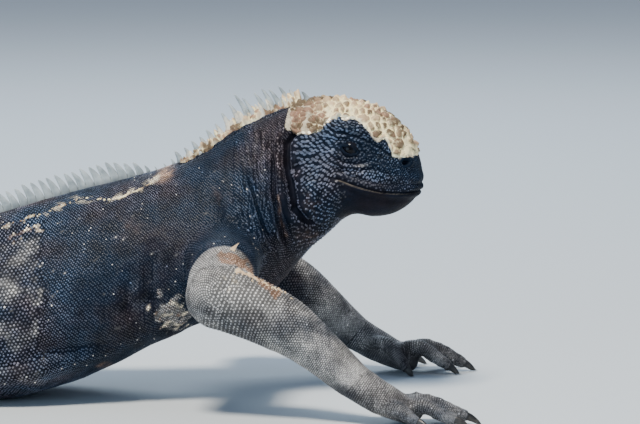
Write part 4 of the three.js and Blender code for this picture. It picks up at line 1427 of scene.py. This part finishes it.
def head_shape(places, straight, pitch, marks):
    a, _, z = straight.T
    count = len(a)
    cheek = cheek_share(a, z)
    jowl = smoothstep(-a, -90, -80) * smoothstep(-z, -143, -136)
    snout = smoothstep(a, 106, 114)
    off = above_mouth(a, z)
    mouth = smoothstep(a, 84, 92)
    lips = mouth * smoothstep(off, 0, 2) * (1 - smoothstep(off, 10, 13))
    chin = mouth * smoothstep(-off, 0, 1.5)
    brow = smoothstep(z, 166, 170) * smoothstep(a, 76, 82) * (1 - smoothstep(a, 116, 122))
    length = pitch * (0.45 + 0.27 * cheek - 0.08 * snout - 0.05 * jowl + 0.1 * brow)
    width = pitch * (0.42 - 0.07 * cheek - 0.06 * snout - 0.03 * jowl - 0.06 * brow)
    high = pitch * (0.3 + 0.02 * cheek + 0.2 * jowl - 0.04 * snout - 0.1 * brow)
    high *= (1 - 0.8 * lips) * (1 - 0.85 * chin)
    sizes = np.stack([length, width, high], -1) * (0.85 + 0.3 * draws.random(count))[:, None]
    tones = 0.14 + 0.16 * draws.random(count) + 0.58 * cheek * (0.4 + draws.random(count))
    tones += 1.25 * jowl * draws.random(count) ** 1.6
    tones *= (1 - 0.9 * chin) * (1 + 0.4 * brow) * (1 - 0.3 * snout)
    # painted glints: a few grains on the snout and brow made much lighter at random
    tones += (1.7 * snout * (1 - chin) + 1.0 * brow) * draws.random(count) ** 4
    # painted sheen: the scales over the upper lip's bulge are made lighter to stand in for its
    # highlight
    sheen = bell(off - 8.5, 2.8) * mouth * (1 - smoothstep(a, 112, 124))
    tones += 1.2 * sheen * (0.6 + 0.8 * draws.random(count))
    return sizes, tones


def limb_shape(places, straight, pitch, marks):
    count = len(places)
    hand = smoothstep(30 - places[:, 2], 0, 14)
    sizes = np.stack([pitch * 0.385, pitch * 0.49, pitch * (0.36 - 0.03 * hand)], -1)
    sizes *= (0.92 + 0.16 * draws.random(count))[:, None]
    bold = 0.35 + 0.65 * marks.max(1)
    uneven = 1 + 0.5 * wander(places, 9, 41)
    tones = (0.36 + 0.26 * draws.random(count)) * bold * uneven * (1 - 0.3 * hand)
    tones = np.where(draws.random(count) > 0.992, 1.1, tones)
    return sizes, tones


head_found = head_scales()
plant("head_scales", head_found, "hide", head_shape, plate_planting)
plant("fore_scales", limb_scales("fore"), "foreleg", limb_shape, bead_planting, 1)
plant("hind_scales", limb_scales("hind"), "hide", limb_shape, bead_planting, 1)
plant("body_scales", flank_scales(), "hide", bead_shape, bead_planting, 3)
plant("filling_scales", filling_scales(), "hide", bead_shape, bead_planting, 1)
for template in (bead, plate):
    bpy.data.objects.remove(template)

# ---- the crest


def spine_grid(along, tall, wide, thick, lean, sideways, aside=0.0):
    """A blade that curves back from its root to a blunt point, a flat oval in section."""
    crown = section_at(along)[1] - 0.06 * aside**2
    shares = np.array([0, 0.0, 0.15, 0.3, 0.45, 0.6, 0.75, 0.88, 0.96, 1.0])
    girth = np.array([0, 1.0, 1.0, 0.97, 0.9, 0.8, 0.66, 0.48, 0.3, 0])
    sink = 3.0
    angles = round_angles(8)
    rises = shares * (tall + sink) - sink
    up = np.maximum(rises, 0) / tall
    x = along - lean * tall * up**1.6
    grid = np.empty((len(shares), 8, 3))
    grid[..., 0] = x[:, None] + girth[:, None] * wide / 2 * np.cos(angles)
    slim = girth * (1 - 0.35 * up)
    grid[..., 1] = slim[:, None] * thick / 2 * np.sin(angles) + aside
    grid[..., 1] += (sideways * up**2)[:, None]
    grid[..., 2] = crown + rises[:, None]
    marks = np.empty((len(shares), 8, 3))
    marks[..., 0] = up[:, None]
    marks[..., 1] = 0
    # the third mark paints a highlight along the blade's rear edge, and a weaker one along its front
    # edge
    marks[..., 2] = np.clip(-np.cos(angles), 0, 1)[None] ** 1.5 + 0.35 * (np.cos(angles) > 0.9)
    return placed(posed(grid)), marks


def add_marked_loft(bm, layer, grid, marks):
    rows, columns = grid.shape[:2]
    wrapped = np.concatenate([grid, grid[:, :1]], axis=1).reshape(-1, 3)
    colours = np.concatenate([marks, marks[:, :1]], axis=1).reshape(-1, 3)
    made = bmesh.ops.create_grid(bm, x_segments=columns, y_segments=rows - 1, size=1)
    for vert, place, colour in zip(made["verts"], wrapped, colours):
        vert.co = place
        vert[layer] = (*colour, 1)
    bmesh.ops.remove_doubles(bm, verts=made["verts"], dist=1e-7)


def make_crest():
    """One row of blades down the back, and the nape's uneven spines with their salted sheaths."""
    bm = bmesh.new()
    layer = bm.verts.layers.float_color.new("marks")
    luck = np.random.default_rng(21)
    along = TAIL_TIP + 26
    while along < HEAD_BACK + 11:
        nape = float(smoothstep(along, -24, -16))
        tail = float(smoothstep(-along, 290, 430))
        tall = spine_height_at(along)[0] * (0.9 + 0.16 * luck.random())
        tall *= 1 - nape * (0.34 * luck.random() - 0.08)
        pitch = 5.3 + 4.2 * tail
        wide = min(tall * 0.66, 6.0 + 0.5 * luck.random() - nape * (1.2 + luck.random()))
        wide = max(wide, 1.2 + 1.5 * tail)
        grid, marks = spine_grid(
            along + luck.normal() * (0.2 + 0.7 * nape), tall, wide, 1.6 + 0.9 * nape,
            0.52 + 0.12 * luck.random() - 0.06 * nape, luck.normal() * (0.25 + 1.3 * nape),
        )
        salted = nape * (0.35 + 0.75 * luck.random()) + 0.1 * luck.random()
        if nape > 0.5 and luck.random() < 0.4:
            salted *= 0.2
        marks[..., 1] = salted * (1.3 - 1.3 * nape * marks[..., 0] - 0.8 * (1 - nape) * marks[..., 0])
        # less of the painted edge highlight on the nape's spines
        marks[..., 2] *= 1 - 0.75 * nape
        add_marked_loft(bm, layer, grid, marks)
        for _ in range(3 if nape > 0.9 else 0):
            short = (0.3 + 0.35 * luck.random()) * min(tall, 15)
            grid, marks = spine_grid(
                along + luck.uniform(-2.6, 2.6), short, 2.6 + 1.4 * luck.random(),
                2.4 + luck.random(), 0.2 + 0.3 * luck.random(), luck.normal() * 0.8,
                luck.uniform(-4.5, 4.5),
            )
            marks[..., 1] = luck.choice([0.25, 0.75, 1.1])
            add_marked_loft(bm, layer, grid, marks)
        along += pitch
    return mesh_from(bm, "crest")


show(make_crest(), "crest", "hide", horn_finish())

# ---- crusts: rough shells that lie on the skin, with ragged edges


def arc_angles(along, angle, offsets):
    """Angles that lie given distances round the body from one angle, at one place along it."""
    turns = angle + np.linspace(-1.9, 1.9, 381)
    ring = on_body(np.full(381, float(along)), turns)
    lengths = lengths_along(ring)
    return np.interp(lengths[190] + offsets, lengths, turns)


def outwards_of(base):
    """Directions straight out of the body at a grid of places on it."""
    out = unit(np.cross(np.gradient(base, axis=1), np.gradient(base, axis=0)))
    centre = base * [1, 0, 0]
    centre[..., 2] = section_at(base[..., 0])[..., 2]
    return out * np.sign(((base - centre) * out).sum())


def nearest_two(places, seeds):
    """Distances of places to their nearest and second nearest seed, and the nearest's number."""
    first, second, which = [], [], []
    for part in np.array_split(places, max(1, len(places) // 3000)):
        far = np.linalg.norm(part[:, None] - seeds[None], axis=2)
        order = np.argsort(far, axis=1)[:, :2]
        pair = np.take_along_axis(far, order, axis=1)
        first.append(pair[:, 0])
        second.append(pair[:, 1])
        which.append(order[:, 0])
    return np.concatenate(first), np.concatenate(second), np.concatenate(which)


def add_shell(bm, pose, base, out, high, shown, marks, depth=1.6):
    """Adds a closed shell over the shown part of a grid, its underside sunk in the skin."""
    layer = bm.verts.layers.float_color["marks"]
    way = bm.verts.layers.float_vector["way"]
    rows, columns = base.shape[:2]
    flat, out = base.reshape(-1, 3), out.reshape(-1, 3)
    top = placed(pose(flat + out * high[:, None]))
    low = placed(pose(flat - out * depth)) - top
    made = bmesh.ops.create_grid(bm, x_segments=columns - 1, y_segments=rows - 1, size=1)
    made = made["verts"]
    for vert, place, down, colour in zip(made, top, low, marks):
        vert.co = place
        vert[way] = down
        vert[layer] = (*np.clip(colour, 0, 1), 1)
    hidden = [v for v, yes in zip(made, shown) if yes < 0.002]
    kept = [v for v, yes in zip(made, shown) if yes >= 0.002]
    bmesh.ops.delete(bm, geom=hidden, context="VERTS")
    loose = [v for v in kept if not v.link_faces]
    bmesh.ops.delete(bm, geom=loose, context="VERTS")
    border = [e for e in bm.edges if e.is_boundary]
    under = bmesh.ops.extrude_edge_only(bm, edges=border)["geom"]
    for vert in under:
        if isinstance(vert, bmesh.types.BMVert):
            vert.co += vert[way]
    bmesh.ops.holes_fill(bm, edges=[e for e in bm.edges if e.is_boundary], sides=0)
    bmesh.ops.triangulate(bm, faces=[f for f in bm.faces if len(f.verts) > 4])


def new_shell():
    bm = bmesh.new()
    bm.verts.layers.float_color.new("marks")
    bm.verts.layers.float_vector.new("way")
    return bm


def scattered(start, end, spacing, angle, reach, luck):
    """Seeds for a crust's cells, in uneven rows over the back."""
    seeds, at, odd = [], start, 0
    while at < end:
        here = min(at, 135.5)
        wide = np.arange(-reach + spacing / 2 * odd, reach, spacing)
        spots = on_body(here, arc_angles(here, angle, wide))
        spots += luck.normal(0, 0.26 * spacing, spots.shape)
        seeds.append(spots[luck.random(len(spots)) > 0.1])
        at += spacing * 0.84 * (1.0 if at < 118 else 0.62)
        odd = 1 - odd
    return np.concatenate(seeds)


def make_crown_crust():
    """Blunt cones pressed together over the crown, with salt in the furrows between them."""
    luck = np.random.default_rng(5)
    along = np.linspace(HEAD_BACK - 3, 135.2, 196)
    turns = math.pi / 2 + np.linspace(-1.5, 1.5, 250)
    base = on_body(along[:, None], turns[None])
    out = outwards_of(base)
    seeds = scattered(HEAD_BACK - 4, 138, 4.9, math.pi / 2, 62, luck)
    own = luck.random(len(seeds))
    flat = base.reshape(-1, 3)
    first, second, which = nearest_two(flat + 0.35 * wander(flat, 2.0, 12)[:, None], seeds)
    own = own[which]
    front = smoothstep(flat[:, 0], 62, 84)
    worn = 0.28 + 0.12 * front + 0.6 * smoothstep(wander(flat, 9, 32) + 0.6 * front, -0.05, 0.5)
    furrow = 1 - smoothstep(second - first, 0.0, (1.3 + 1.4 * own) * (0.45 + 0.55 * front) * worn)
    cone = np.clip(1 - first / 3.1, 0, 1)
    high = 1.5 * smoothstep(second - first, 0.0, 1.8) + (1.0 + 1.6 * own) * cone**1.3
    hollow = (own > 0.62) & (flat[:, 2] < 184)
    high -= np.where(hollow, 1.9 * bell(first, 1.5), 0)
    high += 0.34 * wander(flat, 1.3, 8) + 0.24 * wander(flat, 0.7, 9)
    edge = flat[:, 2] - crust_edge_at(flat[:, 0])[:, 0]
    edge += 1.3 * wander(flat, 4.0, 10) + 0.7 * wander(flat, 1.8, 13)
    edge = np.minimum(edge, (flat[:, 0] - HEAD_BACK - 1 + 1.5 * wander(flat, 4, 11)))
    shown = smoothstep(edge, -0.9, 0.7)
    high = (high + 0.2) * shown - 2.2 * (1 - shown)
    own = np.where(hollow, 0.0, own * (0.1 + 0.9 * front))
    rim = (1 - smoothstep(edge, 0.1, 1.3)) * (0.25 + 0.75 * front)
    furrow = np.maximum(furrow * (0.45 + 0.55 * front), 0.1 * front)
    marks = np.stack([furrow, own, rim], -1)
    bm = new_shell()
    add_shell(bm, posed, base, out, high, shown, marks)
    return mesh_from(bm, "crown_crust")


def make_nape_crust():
    """A lumpy ridge of salt-crusted horn that the nape's spines stand in."""
    luck = np.random.default_rng(11)
    along = np.arange(-24, 58, 0.45)
    offsets = np.arange(-9.5, 9.6, 0.45)
    turns = np.array([arc_angles(a, math.pi / 2, offsets) for a in along])
    base = on_body(along[:, None], turns)
    out = outwards_of(base)
    seeds = scattered(-26, 60, 3.4, math.pi / 2, 11, luck)
    own = luck.random(len(seeds))
    flat = base.reshape(-1, 3)
    arc = np.tile(offsets, len(along))
    first, second, which = nearest_two(flat, seeds)
    own = own[which]
    salty = smoothstep(wander(flat * [1, 0.4, 0.4], 6, 31), -0.22, 0.25)
    furrow = 1 - smoothstep(second - first, 0.0, 1.4)
    high = smoothstep(second - first, 0.0, 1.8) * (1.0 + 2.4 * own**2)
    high += (1.4 + 3.2 * own) * bell(arc, 4.2) * smoothstep(flat[:, 0], -20, 10) * (0.4 + salty)
    high += 0.3 * wander(flat, 1.3, 14) + 0.25 * wander(flat, 0.7, 15)
    edge = 4.6 + 2.6 * wander(flat, 6, 16) + 1.2 * wander(flat, 2, 17) - np.abs(arc)
    edge = np.minimum(edge, flat[:, 0] + 20 + 2 * wander(flat, 4, 18))
    shown = smoothstep(edge, -0.8, 0.6)
    high = (high + 0.3) * shown - 2.2 * (1 - shown)
    rim = 0.6 * (1 - smoothstep(edge, 0.0, 1.2)) * salty
    marks = np.stack([furrow * (0.25 + 0.75 * salty), own * (0.1 + 0.9 * salty), rim], -1)
    bm = new_shell()
    add_shell(bm, posed, base, out, high, shown, marks)
    return mesh_from(bm, "nape_crust")


def make_shed_skin():
    """Ragged pale strips of old skin: beside the crest, and along the top of the right arm."""
    bm = new_shell()
    line_at = through_rows(
        [[-300, -10], [-210, -8], [-136, -7], [-104, -6], [-83, -4], [-61, -9], [-45, -7], [-31, -2]]
    )
    along = np.arange(-300, -30, 0.6)
    offsets = np.arange(-3.0, 3.1, 0.5)
    rising = np.linspace(0, math.pi / 2, 181)
    turns = []
    for a in along:
        heights = on_body(np.full(181, a), rising)[:, 2]
        wanted = section_at(a)[1] + line_at(a)[0]
        turns.append(arc_angles(a, np.interp(wanted, heights, rising), offsets))
    left = on_body(along[:, None], np.array(turns))
    for side in (1, -1):
        base = left * [1, side, 1]
        flat = base.reshape(-1, 3)
        off = np.tile(offsets, len(along))
        bright = smoothstep(flat[:, 0], -92, -80) * (1 - smoothstep(flat[:, 0], -52, -44))
        edge = 0.1 + 0.25 * bright + 0.9 * wander(flat, 11, 20) + 1.9 * wander(flat, 2.1, 21)
        edge = np.minimum(edge - 0.55 * np.abs(off), 2.4 - np.abs(off))
        shown = smoothstep(edge, -0.25, 0.15)
        high = (0.3 + 0.15 * np.abs(off) + 0.4 * wander(flat, 1.2, 22)) * shown - 1.2 * (1 - shown)
        pale = 0.2 + 0.45 * bright + 0.7 * wander(flat, 2, 23)
        marks = np.stack([pale, 0.3 + 0.3 * bright, 0 * off], -1)
        add_shell(bm, posed, base, outwards_of(base), high, shown, marks, 1.0)

    points, girths = LEGS["fore_right"]["lower"]
    shares = np.linspace(0.0, 0.42, 110)
    offsets = np.arange(-0.42, 0.43, 0.035)
    share, turn = (v.ravel() for v in np.meshgrid(shares, math.pi / 2 + 0.12 + offsets, indexing="ij"))
    flat = limb_surface(points, girths, share, turn)
    base = flat.reshape(len(shares), len(offsets), 3)
    middle = curve_through(points, share)[0]
    out = unit(flat - middle)
    off = np.tile(offsets, len(shares)) / 0.42
    edge = 0.6 - 1.3 * share / 0.42 + 1.2 * wander(flat, 5, 24) + 1.1 * wander(flat, 1.6, 25)
    edge -= 1.1 * np.abs(off)
    edge = np.minimum(edge, 4 * (0.95 - np.abs(off)))
    shown = smoothstep(edge, -0.2, 0.15) * smoothstep(share, 0.02, 0.04)
    high = (0.5 + 0.6 * wander(flat, 1.8, 26)) * shown - 1.2 * (1 - shown)
    marks = np.stack([0.1 + 0.8 * wander(flat, 3, 27), 0.85 + 0 * off, 0 * off], -1)
    add_shell(bm, lambda p: p, base, out.reshape(base.shape), high, shown, marks, 1.0)

    # a torn tip of it that stands up from the shoulder
    layer = bm.verts.layers.float_color["marks"]
    leaf = []
    tear = np.random.default_rng(3)
    for t in (0, 0, 0.15, 0.3, 0.42, 0.55, 0.7, 0.82, 0.92, 1.0):
        bow = 2.2 * math.sin(math.pi * t)
        centre = np.array([13 + 6 * t - bow, -90 + 3 * t + bow, 96 + 15 * t - 2 * t * t])
        angles = round_angles(8)
        size = 0 if not leaf else (1 - t) ** 1.1 * tear.uniform(0.75, 1.2)
        broad = np.outer(np.cos(angles), [5.2, -1, -1.6]) * size
        leaf.append(centre + broad + np.outer(np.sin(angles), [0.3, 1, 0.2]) * 0.45 * size)
    leaf = np.array(leaf)
    tint = np.tile([0.0, 1.0, 0.0], (*leaf.shape[:2], 1))
    add_marked_loft(bm, layer, placed(leaf), tint)
    return mesh_from(bm, "shed_skin")


crust = crust_finish()
show(make_crown_crust(), "crown_crust", "crown", crust, "head")
show(make_nape_crust(), "nape_crust", "crown", crust)
show(make_shed_skin(), "shed_skin", "hide", crust)

# ---- eyes, lids and claws


def eye_centre(side):
    eye = side_point(*EYE_PLACE)
    return np.array([eye[0], side * (eye[1] - EYE_DEPTH), eye[2]])


def make_eyes():
    bm = bmesh.new()
    layer = bm.verts.layers.float.new("gaze")
    for side in (-1, 1):
        ball = bmesh.ops.create_uvsphere(bm, u_segments=36, v_segments=24, radius=1)["verts"]
        centre = eye_centre(side)
        for vert in ball:
            aim = math.acos(max(-1, min(1, vert.co.z)))
            vert[layer] = aim
            turned = np.array([vert.co.x, side * vert.co.z, vert.co.y])
            bulge = 1 + 0.05 * math.exp(-((aim / 0.6) ** 2))
            vert.co = placed(posed(centre + turned * EYE_RADIUS * bulge))
    return mesh_from(bm, "eyes")


show(make_eyes(), "eyes", "eye", eye_finish(), "eye_left", "eye_right")


def ribbon(points, sizes, around=8):
    """A closed tube along a path of millimetre points, with a radius at each."""
    points = np.array(points, float)
    ahead = unit(np.gradient(points, axis=0))
    side = unit(np.cross(ahead, [0, 0, 1.0]))
    over = np.cross(side, ahead)
    angles = round_angles(around)
    grid = (
        points[:, None]
        + side[:, None] * (sizes[:, None] * np.cos(angles))[..., None]
        + over[:, None] * (sizes[:, None] * np.sin(angles))[..., None]
    )
    return np.concatenate([grid[:1] * 0 + points[0], grid, grid[:1] * 0 + points[-1]])


def make_lids():
    """The thick rims of the lids round the opening of each eye."""
    bm = bmesh.new()
    for side in (-1, 1):
        for top in (1, -1):
            s = np.linspace(-EYE_HALF_LENGTH - 0.8, EYE_HALF_LENGTH + 0.8, 40)
            t = top * (lid_height(s, top > 0) + 0.15)
            a = EYE_PLACE[0] + s * math.cos(EYE_TILT) + t * math.sin(EYE_TILT)
            z = EYE_PLACE[1] - s * math.sin(EYE_TILT) + t * math.cos(EYE_TILT)
            rim = np.array([side_point(p, q) for p, q in zip(a, z)])
            rim[:, 1] = side * (rim[:, 1] - 0.3)
            thick = 0.55 * np.clip(1 - (s / (EYE_HALF_LENGTH + 1)) ** 4, 0.25, 1)
            add_loft(bm, placed(posed(ribbon(rim, thick))))
    return mesh_from(bm, "lids")


lids = make_lids()
set_colour(lids, "marks", np.tile([0.12, 0.05, 0.0], (len(lids.vertices), 1)))
show(lids, "lids", "hide", hide)


def make_claws():
    """Curved black claws, deepest on top, one at the end of each toe."""
    bm = bmesh.new()
    length, radius, curl = 13, 2.9, 0.6
    for leg in LEGS.values():
        for toe in leg["toes"]:
            line = np.array(toe_curve(toe))
            end, before = line[-1], line[-2]
            forward = unit(end - before)
            across = unit(np.cross([0, 0, 1], forward))
            over = np.cross(forward, across)
            rings = []
            for share in (-0.12, -0.12, 0, 0.15, 0.3, 0.45, 0.6, 0.74, 0.86, 0.95, 1.0):
                bend = curl * share
                size = radius * (1 - max(share, 0) ** 1.15 * 0.95)
                if share == -0.12 and not rings:
                    size = 0
                reach, drop = length * math.sin(bend) / curl, length * (1 - math.cos(bend)) / curl
                centre = end + forward * reach - over * drop
                lift = np.cross(forward * math.cos(bend) - over * math.sin(bend), across)
                angles = round_angles(12)
                deep = np.where(np.sin(angles) > 0, 1.0, 0.8)
                wide = across * (0.7 * size * np.cos(angles))[:, None]
                rings.append(centre + wide + lift * (size * deep * np.sin(angles))[:, None])
            rings.append(rings[-1] * 0 + rings[-1].mean(0))
            grid = np.array(rings)
            grid[..., 2] = np.maximum(grid[..., 2], 0.05)
            add_loft(bm, placed(grid))
    return mesh_from(bm, "claws")


claw_nodes = [f"{leg['nodes'][2]}_claw_{k}" for leg in LEGS.values() for k in range(1, 6)]
show(make_claws(), "claws", "claw", claw_finish(), *claw_nodes)

# ---- the studio


def studio():
    bm = bmesh.new()
    bmesh.ops.create_grid(bm, x_segments=1, y_segments=1, size=12)
    floor = bpy.data.objects.new("floor", mesh_from(bm, "floor", False))
    bpy.context.scene.collection.objects.link(floor)
    floor.location.z = -0.0005
    finish, _, shader = new_finish("pale_floor")
    shader.inputs["Base Color"].default_value = rgb(0.62, 0.66, 0.68)
    shader.inputs["Roughness"].default_value = 0.8
    floor.data.materials.append(finish)
    world = bpy.data.worlds.new("studio")
    world.use_nodes = True
    back = next(n for n in world.node_tree.nodes if n.type == "BACKGROUND")
    back.inputs["Color"].default_value = rgb(0.55, 0.7, 0.95)
    back.inputs["Strength"].default_value = 0.48
    bpy.context.scene.world = world
    for name, place, size, power, tint in (
        ("key", (-0.05, -1.2, 2.35), 0.55, 104, (1, 0.94, 0.84)),
        ("fill", (-1.3, -2.1, 0.4), 1.6, 30, (0.5, 0.75, 1)),
        ("back", (0.2, 1.8, 1.7), 1.2, 34, (0.75, 0.88, 1)),
    ):
        data = bpy.data.lights.new(name, "AREA")
        data.size = size
        data.energy = power
        data.color = tint
        light = bpy.data.objects.new(name, data)
        light.location = place
        aim = Vector((0.3, 0, 0.1)) - light.location
        light.rotation_euler = aim.to_track_quat("-Z", "Y").to_euler()
        bpy.context.scene.collection.objects.link(light)


studio()
